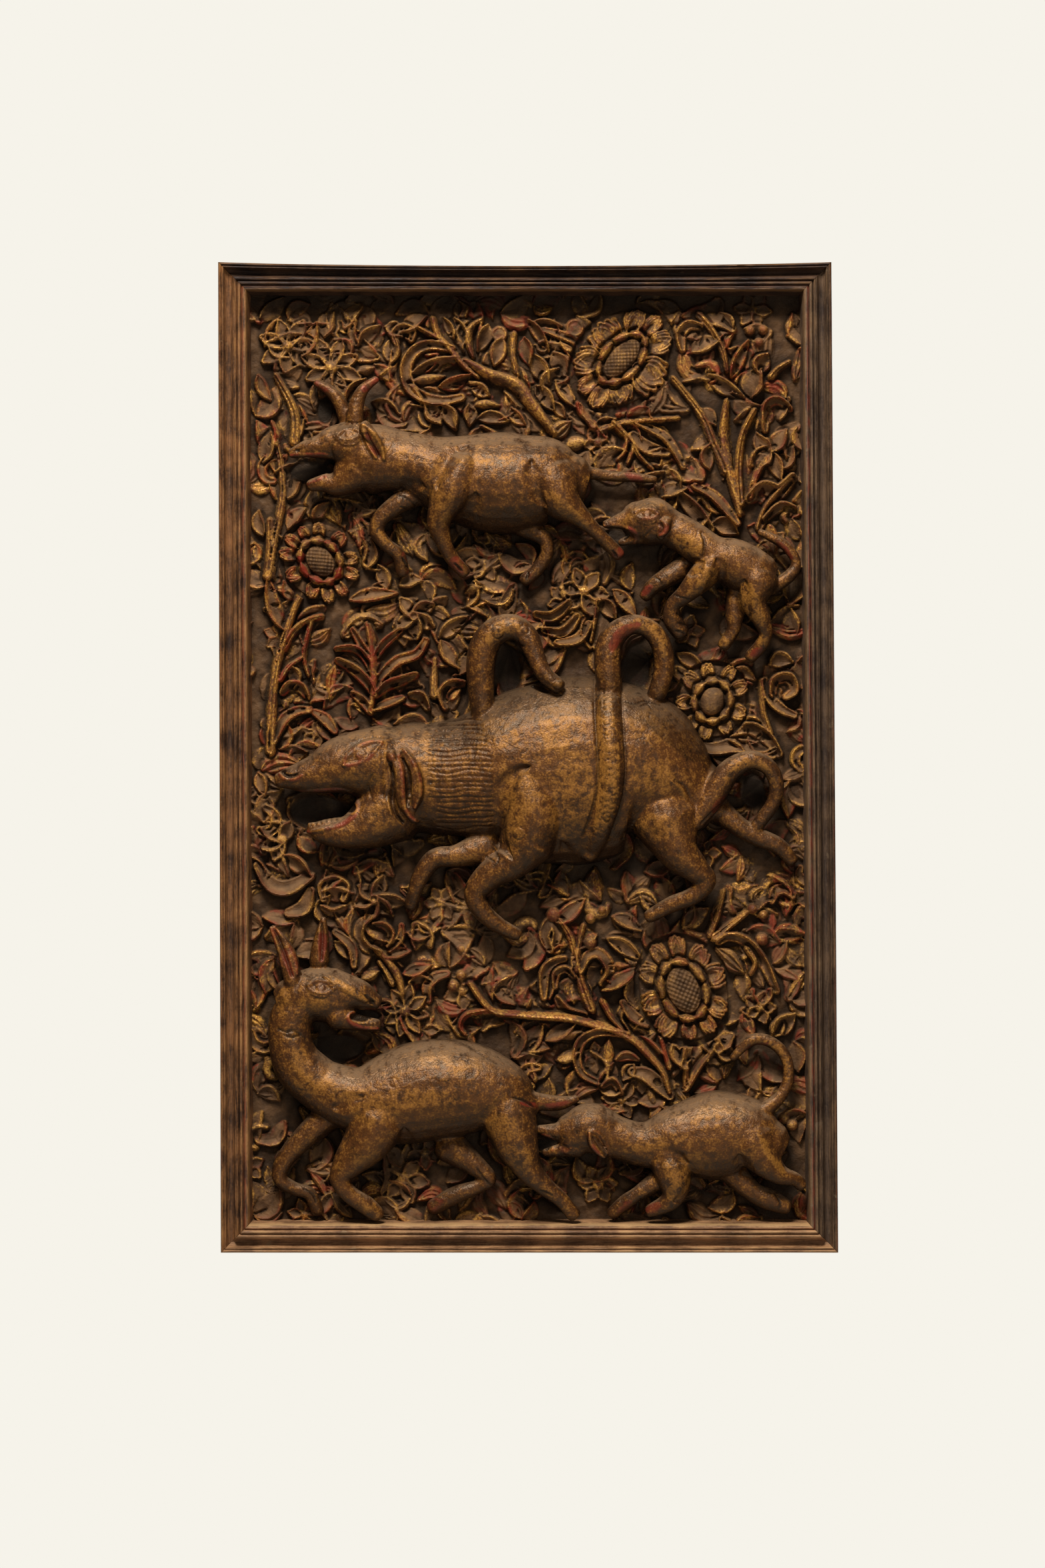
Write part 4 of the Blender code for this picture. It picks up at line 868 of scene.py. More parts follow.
foliageLowerMiddle = [
    ("leaf", 10, 11, .2, .8, 834, 1384, 854, 1370, 876, 1350),
    ("curl", 7, 11, .3, .1, 824, 1426, 816, 1404, 826, 1384, 836, 1396, 832, 1420),
    ("stem", 6, 12, .7, .3, 885, 1516, 875, 1490, 866, 1460, 855, 1410, 840, 1384),
    ("stem", 4, 11, .4, .3, 866, 1456, 870, 1420, 876, 1390),
    ("curl", 6, 12, .6, .2, 815, 1497, 816, 1462, 828, 1446, 846, 1440),
    ("curl", 4, 11, .5, .3, 832, 1482, 834, 1462, 848, 1455, 859, 1466),
    ("curl", 6, 12, .5, .3, 870, 1457, 880, 1436, 896, 1430, 910, 1442, 915, 1460, 904, 1477),
    ("leaf", 9, 11, .2, .1, 912, 1410, 934, 1420, 962, 1440),
    ("leaf", 8, 12, .3, .9, 903, 1486, 928, 1472, 957, 1454),
    ("leaf", 8, 10, .1, .1, 920, 1376, 940, 1382, 962, 1396),
    ("curl", 6, 11, .2, .2, 935, 1506, 950, 1526, 970, 1538),
    ("curl", 4, 11, .3, 0, 932, 1514, 928, 1532, 942, 1552),
    ("curl", 6, 11, .2, .2, 835, 1500, 850, 1520, 876, 1525),
    ("ring", 6, 14, .7, .4, 1005, 1640, 995, 1610, 975, 1585, 950, 1560, 920, 1545, 890, 1537, 850, 1527,
     775, 1522, 735, 1515, 705, 1477),
    ("stem", 5, 12, .3, .7, 735, 1519, 700, 1525, 690, 1540, 696, 1552),
    ("stem", 4, 12, .5, .5, 905, 1504, 920, 1530, 941, 1552),
    ("leaf", 9, 11, .2, .1, 818, 1562, 838, 1550, 862, 1536),
    ("lens", 6, 10, .1, 0, 840, 1560, 858, 1556, 877, 1550),
    ("curl", 5, 13, .8, .4, 940, 1554, 900, 1550, 875, 1560, 865, 1580, 866, 1600, 875, 1615, 896, 1626),
    ("blade", 8, 12, .9, .3, 908, 1616, 910, 1590, 912, 1562),
    ("lens", 9, 10, .2, 0, 834, 1592, 850, 1586, 866, 1580),
    ("curl", 4, 11, .4, .3, 904, 1632, 918, 1624, 930, 1642),
    ("leaf", 8, 11, .3, .1, 950, 1600, 942, 1610, 934, 1622),
    ("leaf", 5, 11, .3, .9, 924, 1592, 940, 1586, 957, 1592),
    ("curl", 9, 11, .1, 0, 948, 1610, 972, 1616, 1004, 1646),
    ("leaf", 7, 10, .2, .2, 792, 1578, 806, 1572, 822, 1574),
    ("leaf", 8, 9, .1, .2, 740, 1490, 756, 1496, 770, 1508),
]
foliageLowerRight = [
    ("curl", 6, 13, .9, .3, 1080, 1414, 1096, 1406, 1118, 1412, 1138, 1432, 1152, 1456, 1166, 1488),
    ("stem", 4, 12, .6, .4, 1124, 1424, 1136, 1445, 1130, 1462),
    ("stem", 6, 12, .6, .1, 1073, 1406, 1094, 1390, 1120, 1370),
    ("stem", 4, 11, .5, .1, 1065, 1402, 1078, 1370, 1086, 1338),
    ("leaf", 12, 11, .2, 0, 1162, 1552, 1176, 1540, 1194, 1524),
    ("leaf", 9, 11, .2, 0, 1160, 1556, 1168, 1544, 1172, 1528),
    ("ribbed", 12, 12, .1, 0, 1076, 1424, 1094, 1442, 1117, 1461),
    ("petal", 11, 12, .2, .2, 1078, 1574, 1066, 1564, 1058, 1556),
    ("petal", 11, 12, .2, 0, 1078, 1574, 1088, 1562, 1098, 1556),
    ("petal", 11, 12, .2, 0, 1078, 1574, 1076, 1586, 1066, 1594),
    ("petal", 10, 12, .2, 0, 1078, 1574, 1090, 1582, 1100, 1588),
    ("petal", 12, 12, .3, .2, 1029, 1598, 1020, 1584, 1014, 1566),
    ("petal", 12, 12, .3, .2, 1029, 1598, 1038, 1584, 1044, 1566),
    ("stem", 5, 12, .4, .3, 1030, 1630, 1030, 1612, 1030, 1596),
    ("stem", 5, 12, .6, .3, 1028, 1634, 1048, 1602, 1066, 1580),
    ("stem", 3.5, 12, .2, 1, 1005, 1602, 998, 1580, 992, 1558),
    ("curl", 4, 11, .2, 1, 1136, 1506, 1128, 1496, 1130, 1488),
    ("curl", 4, 11, .2, 1, 1146, 1506, 1154, 1496, 1156, 1488),
    ("curl", 6, 11, .3, .2, 1160, 1352, 1166, 1338, 1180, 1334, 1192, 1344),
    ("curl", 9, 10, .1, 0, 1040, 1108, 1070, 1122, 1110, 1118, 1162, 1132),
    ("curl", 8, 11, .2, 0, 1100, 1098, 1130, 1092, 1156, 1108, 1172, 1130),
    ("curl", 6, 11, .3, .1, 1196, 1072, 1176, 1062, 1160, 1046, 1152, 1020),
    ("curl", 6, 12, .3, .4, 1164, 1040, 1168, 1020, 1188, 1016, 1196, 1034, 1184, 1044),
    ("stem", 4, 12, .7, .1, 1158, 1100, 1148, 1066, 1146, 1020),
    ("leaf", 8, 11, .3, .1, 1100, 1020, 1118, 1008, 1136, 1018),
    ("leaf", 10, 11, .1, 0, 1160, 995, 1176, 988, 1194, 992),
    ("leaf", 8, 10, .2, .2, 1020, 980, 1040, 990, 1058, 1002),
    ("leaf", 8, 10, .2, 0, 1010, 1000, 1024, 1010, 1040, 1024),
]
berries = [
    (431, 516, 8, .8), (497, 548, 10, .6), (752, 497, 12, .1), (867, 488, 14, .2), (1133, 492, 7, .2),
    (1153, 491, 7, .2), (1146, 510, 7, .1), (548, 950, 13, 0), (621, 923, 9, .9), (420, 1260, 9, .1),
    (559, 1349, 9, .8), (678, 1480, 9, .5), (690, 1464, 8, .4), (830, 1373, 11, .3), (886, 1379, 7, .3),
    (903, 1366, 6, .3), (885, 1415, 10, .1), (1131, 1364, 8, .4), (1147, 1373, 7, .4), (1145, 1410, 10, .1),
    (1164, 673, 5, .4), (460, 1065, 5, .5), (1078, 1574, 5, .3), (1166, 1700, 12, .1), (1188, 1690, 9, .1),
    (1176, 1680, 9, .1), (1018, 916, 8, .2), (690, 1425, 7, .3),
]
for row in (foliageTopLeft + foliageTopMiddle + foliageTopRight + foliageLeft + foliageCentre
            + foliageLowerLeft + foliageLowerMiddle + foliageLowerRight):
    kind, wide, high, gilt, red = row[:5]
    dice = random.Random(int(row[5] * 7 + row[6]))
    shape, section = foliageKinds[kind]
    ground.ribbon(row[5:], wide * planks["drawnWider"], high * planks["drawnHigher"], shape, section,
                  tilt=dice.choice((-1, 1)) * dice.uniform(0.15, 0.45), lift=dice.uniform(-0.3, 0.2),
                  gilt=gilt, red=red, dirtAndShade=0)
sunflower(479, 840, 25, 19, 50, 28, 11, 9, red=0.9)
sunflower(938, 534, 36, 18, -47, 38, 9, 9, 5, red=0.3)
sunflower(1072, 1051, 18, 22, 20, 26, 9, 8, hatch=0, red=0.1)
sunflower(1026, 1487, 24, 36, -22, 34, 10, 8, 4, 8.5, red=0.5)
flower(431, 516, 8, 40, 7, -160, high=11)
flower(497, 548, 9, 42, 8, 200, high=11)
flower(901, 661, 7, 20, 5, 20, high=12, red=0.6)
flower(878, 885, 8, 34, 6, 10, high=12)
flower(727, 842, 7, 26, 6, 0, high=8)
flower(605, 1518, 9, 38, 8, 12, True, 11)
flower(1141, 1513, 7, 22, 5, 0, high=11)
flower(601, 1771, 9, 34, 6, 10, high=8)
flower(895, 1779, 9, 28, 6, 0, high=8)
flower(660, 1355, 7, 24, 6, 0, high=7)
flower(470, 1100, 6, 18, 5, 0, high=7)
for gx, gy, reach, gilt in berries:
    small = reach < 12
    ground.boss(gx, gy, reach, 14.0 if small else 12.0, base=0.5, hollow=0.0 if small else 0.3, gilt=gilt,
                red=0.3 if gilt < 0.4 else 0.1)


rows, columns = ground.shape
rough = clouds(rows, columns, 60, 3, 6)
ground.layers["height"] += 0.4 * rough + 0.3 * clouds(rows, columns, 7, 4, 2)
toolMarks = planks["toolMarks"] * (1 + clouds(rows, columns, 12, 5, 3))
ground.layers["height"] += toolMarks * (ground.layers["height"] < 3)
smooth = 0.5 * ground.layers["height"] + 0.5 * blurred(ground.layers["height"], 1)
ground.layers["height"] = np.maximum(smooth, 0)
# painted shadow of the top rail: the strip below it is lowered and blackened through the grime-and-shade
# layer
shaded = smoothStep(*planks["shaded"], ground.top + ground.step * np.arange(rows))[:, None]
ground.layers["height"] *= 1 - 0.6 * shaded
ground.layers["dirtAndShade"] = np.maximum(ground.layers["dirtAndShade"], 0.9 * shaded)
near, far = blurred(ground.layers["height"], 3), blurred(ground.layers["height"], 10)
ground.layers["cavity"] = np.clip(
    (ground.layers["height"] - near) * 0.16 + (ground.layers["height"] - far) * 0.11, -1, 1)
print("stage: foliage drawn")


def carvedPlank(name, node, firstShare, lastShare):
    low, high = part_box(node)
    inset = panel["mouldingWidth"] - panel["rebate"] + panel["gap"]
    step = planks["step"] * square
    tall = int((high.z - low.z) / step)
    wide = int((high.x - low.x) / step)
    thing = newGrid(name, tall, wide)
    up, over = np.meshgrid(np.linspace(0, 1, tall), np.linspace(0, 1, wide), indexing="ij")
    corners = {(r, t): cornerOf(r, t, inset) for r in (False, True) for t in (False, True)}

    def edgeAt(share):
        foot = corners[False, False][0] * (1 - share) + corners[True, False][0] * share
        head = corners[False, True][0] * (1 - share) + corners[True, True][0] * share
        return foot * (1 - up) + head * up

    z = corners[False, False][1] * (1 - up) + corners[False, True][1] * up
    x = edgeAt(firstShare) * (1 - over) + edgeAt(lastShare) * over
    gx, gy = drawn(x, z)
    inside = (gx > panel["left"] - 6) & (gx < panel["right"] + 6)
    inside &= (gy > panel["top"] - 6) & (gy < panel["bottom"] + 6)
    rise = np.where(inside, ground.sample("height", gx, gy), 0) / 1000
    rim = ((over == 0) & (firstShare == 0)) | ((over == 1) & (lastShare == 1)) | (up == 0) | (up == 1)
    rise = np.where(rim, 0, rise)
    setPoints(thing, np.stack([x, groundY - rise, z], -1).reshape(-1, 3))
    edited(thing, (bpy.ops.mesh.normals_make_consistent, {"inside": False}))
    if normalsOf(thing)[:, 1].mean() > 0:
        edited(thing, (bpy.ops.mesh.flip_normals, {}))
    thinned(thing, planks["mostTriangles"])
    closeBehind(thing)
    points = pointsOf(thing)
    gx, gy = drawn(points[:, 0], points[:, 2])
    front = points[:, 1] < -0.001
    for layer in ("height", "cavity", "gilt", "red", "dirtAndShade"):
        setLayer(thing, layer, np.where(front, ground.sample(layer, gx, gy), 0))
    standsFor(thing, node, groundLook)
    return thing


# pulls the rim of an open carved face back to the wall and closes it
def closeBehind(thing):
    onlySelected(thing)
    bpy.ops.object.mode_set(mode="EDIT")
    bpy.ops.mesh.select_all(action="DESELECT")
    bpy.ops.mesh.select_non_manifold()
    bpy.ops.mesh.extrude_region_move(TRANSFORM_OT_translate={"value": (0, panel["boardThickness"], 0)})
    bpy.ops.object.mode_set(mode="OBJECT")
    points = pointsOf(thing)
    chosen = np.empty(len(points), bool)
    thing.data.vertices.foreach_get("select", chosen)
    points[chosen, 1] = 0
    setPoints(thing, points)
    bpy.ops.object.mode_set(mode="EDIT")
    bpy.ops.mesh.edge_face_add()
    bpy.ops.mesh.select_all(action="SELECT")
    bpy.ops.mesh.normals_make_consistent(inside=False)
    bpy.ops.object.mode_set(mode="OBJECT")


groundLook = carvedGroundFinish()


# The animals.

animals = {
    "voxel": 0.00125,
    "ringSides": 24,
    "steps": 6,
    "smoothing": 9,
    "shrinking": 0.0000032,  # what the smoothing takes off a thin limb, in square metres
    "thinnestLeg": 9.5,
    "flankCrest": 62.0,  # of the boar, in the crests' own units: it rises by the panel's reliefRise
    "flankMiddle": 1152,  # of the boar, and half its height there, in the drawing
    "flankHalf": 141,
    "bandStandsOut": 7,  # of the serpent round the flank
    "unevenness": (0.22, 0.35),  # fine and broad, in millimetres
}


# centre, half width and half depth, in metres, of a limb's section
def sectionOf(station):
    gx, gy, half, crest = station
    x, z = placed(gx, gy)
    wide, rise = half * square, crest / animals["flankCrest"] * panel["reliefRise"]
    wide += animals["shrinking"] / wide
    deep = min(wide, rise * 0.97)
    return Vector((x, groundY - rise + deep, z)), wide, deep


def limb(bm, stations):
    row = [sectionOf(station) for station in smoothRow(stations, animals["steps"])]
    sides, rings = animals["ringSides"], []
    for i, (centre, wide, deep) in enumerate(row):
        along = row[min(i + 1, len(row) - 1)][0] - row[max(i - 1, 0)][0]
        along.y = 0
        across = Vector((0, 1, 0)).cross(along).normalized()
        turns = [2 * math.pi * k / sides for k in range(sides)]
        rings.append([
            bm.verts.new(centre + across * wide * math.cos(turn) + Vector((0, deep * math.sin(turn), 0)))
            for turn in turns
        ])
    for ring, after in zip(rings, rings[1:]):
        for k in range(sides):
            bm.faces.new((ring[k], ring[(k + 1) % sides], after[(k + 1) % sides], after[k]))
    for end, inner in ((0, 1), (-1, -2)):
        centre, wide, deep = row[end]
        outward = (centre - row[inner][0])
        outward.y = 0
        outward.normalize()
        ring = rings[end]
        for reach, size in ((0.45, 0.88), (0.78, 0.6)):
            shift = outward * wide * reach
            after = [bm.verts.new(centre + (vert.co - centre) * size + shift) for vert in rings[end]]
            for k in range(sides):
                bm.faces.new((ring[k], ring[(k + 1) % sides], after[(k + 1) % sides], after[k]))
            ring = after
        bm.faces.new(ring)


def carvedAnimal(name, node, settings):
    bm = bmesh.new()
    for key, stations in settings["limbs"].items():
        least = animals["thinnestLeg"] if "leg" in key else 0
        limb(bm, [(gx, gy, max(half, least), crest) for gx, gy, half, crest in stations])
    bmesh.ops.recalc_face_normals(bm, faces=bm.faces)
    mesh = bpy.data.meshes.new(name)
    bm.to_mesh(mesh)
    bm.free()
    thing = bpy.data.objects.new(name, mesh)
    bpy.context.scene.collection.objects.link(thing)
    applied(thing, "REMESH", mode="VOXEL", voxel_size=animals["voxel"])
    applied(thing, "SMOOTH", factor=0.5, iterations=animals["smoothing"])
    points = pointsOf(thing)
    gx, gy = drawn(points[:, 0], points[:, 2])
    carving = Carving(gx.min() - 6, gy.min() - 6, gx.max() + 6, gy.max() + 6, 1.0)
    settings["carve"](carving)
    height = carving.layers["height"]
    rows, columns = carving.shape
    finely, broadly = animals["unevenness"]
    height += finely * clouds(rows, columns, 9, 8, 2) + broadly * clouds(rows, columns, 40, 9, 2)
    carving.layers["cavity"] = np.clip((height - blurred(height, 4)) * 0.5, -1, 1)
    facing = np.clip(-normalsOf(thing)[:, 1] * 1.4, 0, 1) ** 0.7
    points += normalsOf(thing) * (carving.sample("height", gx, gy) / 1000 * facing)[:, None]
    behind = groundY - panel["gap"]
    points[:, 1] = np.minimum(points[:, 1], behind)
    gx, gy = drawn(points[:, 0], points[:, 2])
    gx = np.clip(gx, panel["left"] + 1, panel["right"] - 1)
    gy = np.clip(gy, panel["top"] + 1, panel["bottom"] - 1)
    points[:, 0], points[:, 2] = placed(gx, gy)
    setPoints(thing, points)
    thinned(thing, settings["mostTriangles"])
    points = pointsOf(thing)
    gx, gy = drawn(points[:, 0], points[:, 2])
    facing = np.clip(-normalsOf(thing)[:, 1] * 2, 0, 1)
    for layer in ("cavity", "gilt", "red", "dirtAndShade"):
        setLayer(thing, layer, carving.sample(layer, gx, gy) * facing)
    onlySelected(thing)
    bpy.ops.object.shade_smooth()
    standsFor(thing, node, gildedLook)
    return thing


gildedLook = wornGildingFinish()
hornedBeastLimbs = {
    "trunk": [(560, 690, 50, 46), (610, 692, 46, 48), (660, 708, 57, 53), (720, 720, 74, 57),
              (780, 722, 77, 57), (822, 714, 62, 54), (850, 720, 46, 46)],
    "skull": [(600, 690, 46, 47), (566, 684, 50, 47), (544, 684, 49, 46)],
    "upper jaw": [(532, 668, 41, 46), (503, 664, 28, 43), (482, 669, 19, 40), (463, 672, 14, 38),
                  (446, 677, 9, 35), (439, 679, 7, 33)],
    "lower jaw": [(534, 704, 38, 43), (508, 724, 20, 38), (486, 724, 13, 34), (468, 727, 9, 31)],
    "near horn": [(533, 634, 13, 38), (536, 606, 11, 37), (546, 584, 8, 35), (565, 569, 4, 33)],
    "far horn": [(522, 634, 11, 26), (511, 604, 10, 25), (495, 584, 8, 23), (475, 573, 5, 20)],
    "ear": [(549, 640, 8, 49), (560, 656, 9, 52), (568, 670, 7, 50), (576, 684, 4, 47)],
    "near foreleg": [(694, 706, 32, 60), (679, 738, 33, 62), (664, 768, 21, 56), (660, 790, 17, 50),
                     (669, 818, 11, 42), (680, 838, 10, 36), (697, 857, 7, 30)],
    "far foreleg": [(626, 738, 20, 32), (596, 756, 15, 32), (571, 777, 12, 30), (566, 797, 11, 28),
                    (580, 816, 9, 26), (598, 831, 9, 24), (604, 856, 6, 20)],
    "near hind leg": [(832, 722, 42, 58), (846, 752, 30, 58), (872, 775, 16, 50), (896, 797, 10, 42),
                      (916, 816, 8, 36), (930, 830, 6, 32)],
    "far hind leg": [(786, 786, 18, 24), (818, 806, 11, 24), (822, 830, 9, 22), (806, 855, 7, 20),
                     (790, 868, 5, 18)],
    "tail": [(850, 700, 12, 30), (890, 708, 9, 26), (920, 713, 7, 24), (950, 714, 7, 24),
             (986, 718, 4, 22)],
}
upperHoundLimbs = {
    "trunk": [(1018, 796, 28, 44), (1042, 810, 28, 46), (1072, 832, 30, 48), (1104, 844, 37, 50),
              (1138, 860, 35, 50)],
    "skull": [(1010, 790, 27, 42), (984, 782, 37, 46), (962, 780, 30, 44)],
    "upper jaw": [(962, 774, 23, 42), (940, 780, 14, 38), (912, 786, 5, 34)],
    "lower jaw": [(968, 800, 16, 36), (950, 808, 8, 32), (935, 813, 4, 29)],
    "ear": [(1004, 782, 5, 48), (1000, 794, 6, 50), (994, 806, 4, 48)],
    "near foreleg": [(1072, 848, 20, 52), (1056, 866, 21, 52), (1030, 892, 14, 46), (1012, 908, 11, 40),
                     (1012, 928, 14, 36), (1022, 946, 13, 32)],
    "far foreleg": [(1030, 850, 18, 28), (1004, 866, 15, 30), (984, 878, 12, 28), (972, 892, 9, 24)],
    "near hind leg": [(1140, 872, 30, 54), (1134, 902, 20, 50), (1146, 930, 14, 44), (1152, 950, 9, 38),
                      (1146, 966, 7, 34), (1130, 984, 6, 28)],
    "far hind leg": [(1112, 888, 18, 28), (1106, 922, 14, 28), (1104, 944, 8, 26), (1090, 966, 8, 24)],
    "tail": [(1160, 882, 11, 32), (1188, 864, 9, 30), (1199, 846, 7, 28), (1192, 828, 7, 28),
             (1175, 812, 7, 28), (1146, 798, 4, 26)],
}
boarLimbs = {
    "trunk": [(640, 1168, 84, 47), (700, 1166, 95, 52), (760, 1160, 122, 59), (830, 1158, 142, 62),
              (900, 1152, 140, 62), (960, 1152, 118, 59), (1010, 1174, 86, 50), (1040, 1192, 58, 40)],
    "skull": [(660, 1168, 82, 46), (620, 1166, 84, 47), (598, 1166, 80, 47)],
    "upper jaw": [(568, 1146, 60, 47), (525, 1146, 48, 45), (500, 1151, 41, 43), (475, 1160, 31, 40),
                  (450, 1165, 23, 37), (430, 1168, 16, 35), (420, 1170, 12, 33)],
    "lower jaw": [(584, 1214, 56, 45), (552, 1236, 40, 43), (522, 1248, 26, 40), (500, 1249, 22, 38),
                  (480, 1247, 17, 36), (466, 1243, 9, 32)],
    "inner ear lobe": [(587, 1130, 6, 50), (597, 1156, 7, 54), (600, 1185, 8, 54), (607, 1210, 7, 52),
                       (620, 1230, 4, 49)],
    "outer ear lobe": [(606, 1130, 5, 50), (618, 1150, 8, 53), (625, 1175, 10, 54), (624, 1200, 8, 52),
                       (617, 1218, 4, 48)],
    "shoulder": [(790, 1180, 38, 64), (800, 1214, 48, 67), (792, 1250, 46, 64)],
    "near foreleg": [(790, 1262, 44, 62), (768, 1292, 28, 54), (735, 1312, 22, 48), (712, 1340, 17, 43),
                     (722, 1366, 14, 39), (745, 1387, 12, 34), (773, 1402, 7, 29)],
    "far foreleg": [(728, 1272, 30, 32), (685, 1284, 17, 32), (652, 1288, 15, 30), (630, 1314, 13, 27),
                    (620, 1340, 10, 23), (614, 1358, 6, 18)],
    "near hind leg": [(1000, 1228, 56, 54), (1018, 1276, 32, 52), (1044, 1304, 21, 46),
                      (1060, 1322, 15, 41), (1040, 1344, 13, 37), (1008, 1357, 12, 31), (975, 1375, 8, 26)],
    "far hind leg": [(1070, 1206, 22, 26), (1108, 1238, 15, 27), (1140, 1256, 14, 27), (1170, 1269, 12, 26),
                     (1190, 1290, 8, 22)],
    "tail loop": [(1046, 1232, 13, 40), (1062, 1208, 17, 42), (1080, 1178, 19, 43), (1100, 1153, 17, 43),
                  (1130, 1140, 14, 42), (1157, 1153, 12, 40), (1167, 1180, 11, 36), (1160, 1208, 10, 31),
                  (1136, 1240, 10, 27)],
    "serpent left loop": [(724, 1066, 17, 34), (722, 1030, 20, 34), (722, 995, 22, 38), (729, 965, 22, 40),
                          (748, 945, 21, 42), (773, 941, 19, 42), (793, 957, 17, 42), (805, 985, 14, 43),
                          (817, 1010, 12, 45), (838, 1028, 11, 47)],
    "serpent right loop": [(916, 1030, 19, 44), (913, 985, 20, 43), (920, 958, 19, 42), (940, 940, 16, 42),
                           (962, 937, 14, 40), (985, 951, 15, 38), (997, 976, 15, 36), (998, 1006, 15, 33),
                           (988, 1040, 14, 32)],
}
deerLimbs = {
    "trunk": [(482, 1632, 41, 46), (528, 1650, 50, 52), (580, 1650, 70, 56), (640, 1638, 77, 58),
              (700, 1635, 71, 57), (748, 1644, 54, 53), (772, 1662, 38, 46)],
    "neck": [(452, 1500, 30, 42), (434, 1530, 33, 43), (433, 1566, 33, 43), (447, 1602, 38, 44),
             (484, 1634, 40, 45)],
    "skull": [(440, 1500, 36, 43), (460, 1494, 40, 45), (480, 1493, 42, 46), (498, 1497, 41, 45)],
    "upper jaw": [(500, 1490, 38, 45), (530, 1491, 25, 43), (548, 1497, 19, 40), (560, 1502, 12, 37)],
    "lower jaw": [(505, 1524, 22, 42), (530, 1533, 13, 38), (548, 1537, 11, 35), (562, 1538, 9, 33)],
    "near ear": [(437, 1472, 12, 42), (432, 1443, 14, 40), (421, 1415, 11, 37), (407, 1393, 3, 34)],
    "far ear": [(476, 1442, 15, 30), (478, 1420, 13, 28), (481, 1398, 9, 26), (483, 1380, 3, 24)],
    "near foreleg": [(566, 1680, 44, 58), (546, 1714, 36, 56), (520, 1745, 24, 50), (508, 1768, 16, 45),
                     (520, 1790, 13, 41), (545, 1808, 14, 37), (561, 1822, 12, 32)],
    "far foreleg": [(492, 1674, 24, 30), (448, 1713, 17, 28), (421, 1745, 13, 26), (416, 1770, 11, 24),
                    (437, 1785, 9, 22), (460, 1793, 9, 21), (472, 1818, 7, 18)],
    "near hind leg": [(760, 1672, 44, 56), (774, 1718, 33, 54), (791, 1755, 20, 47), (815, 1780, 14, 41),
                      (840, 1801, 11, 36), (857, 1822, 11, 31)],
    "far hind leg": [(672, 1722, 26, 26), (712, 1752, 16, 26), (731, 1771, 11, 25), (714, 1782, 10, 23),
                     (680, 1795, 13, 23), (648, 1813, 12, 20)],
    "tail": [(768, 1644, 16, 38), (800, 1652, 13, 34), (835, 1656, 11, 30), (862, 1650, 5, 26)],
}
lowerHoundLimbs = {
    "trunk": [(914, 1704, 32, 42), (962, 1718, 34, 44), (1012, 1712, 52, 49), (1070, 1706, 68, 52),
              (1118, 1704, 58, 51), (1146, 1716, 40, 46)],
    "skull": [(914, 1702, 32, 42), (884, 1694, 39, 45), (860, 1700, 32, 43)],
    "upper jaw": [(858, 1698, 22, 40), (832, 1698, 13, 36), (808, 1695, 6, 32)],
    "lower jaw": [(862, 1718, 20, 38), (838, 1726, 10, 34), (816, 1730, 5, 30)],
    "ear": [(884, 1700, 5, 48), (890, 1716, 7, 49), (904, 1730, 5, 46)],
    "near foreleg": [(1000, 1740, 28, 50), (1010, 1776, 24, 48), (1002, 1802, 15, 40), (974, 1817, 9, 33)],
    "far foreleg": [(1000, 1764, 22, 30), (958, 1790, 11, 29), (936, 1805, 11, 27), (917, 1822, 7, 23)],
    "near hind leg": [(1126, 1712, 42, 54), (1148, 1744, 24, 50), (1168, 1762, 15, 43),
                      (1190, 1769, 10, 37), (1200, 1778, 6, 32)],
    "far hind leg": [(1090, 1752, 22, 28), (1126, 1788, 15, 29), (1152, 1801, 16, 29),
                     (1176, 1811, 12, 27)],
    "tail": [(1132, 1674, 14, 36), (1166, 1650, 9, 32), (1182, 1620, 8, 30), (1178, 1586, 8, 28),
             (1156, 1564, 8, 28), (1128, 1561, 8, 27), (1099, 1588, 4, 24)],
}


# Carved details. Heights are in millimetres; "add" raises or cuts what is there.


# a cut line, also painted darker: grime and painted shade in the groove
def groove(carving, route, wide=2.2, deep=1.6, red=0.0, gilt=0.0, dirtAndShade=0.35, shape="curl"):
    carving.ribbon(route, wide * 1.15, -deep * 1.2, shape, "soft", "add", 1.2, gilt=gilt, red=red, dirtAndShade=dirtAndShade)


# a wide soft hollow, as between a thigh and the belly
def fold(carving, route, wide=20.0, deep=2.6):
    carving.ribbon(route, wide, -deep, "leaf", "soft", "add", 1.0)


def ridge(carving, route, wide=3.0, high=1.4, red=0.0, gilt=0.0, shape="curl"):
    carving.ribbon(route, wide, high, shape, "round", "add", 1.4, gilt=gilt, red=red, dirtAndShade=None)


def stain(carving, route, wide, red=0.0, gilt=0.0, dirtAndShade=None, shape="curl"):
    carving.ribbon(route, wide, 0.0, shape, "flat", "add", 1.0, gilt=gilt, red=red, dirtAndShade=dirtAndShade)


# a peg's end or its empty hole
def peg(carving, gx, gy, reach, proud=0.5):
    carving.boss(gx, gy, reach + 1.6, -0.9, base=0.9, mode="add")
    carving.boss(gx, gy, reach, 0.9 + proud, base=0.9, mode="add")


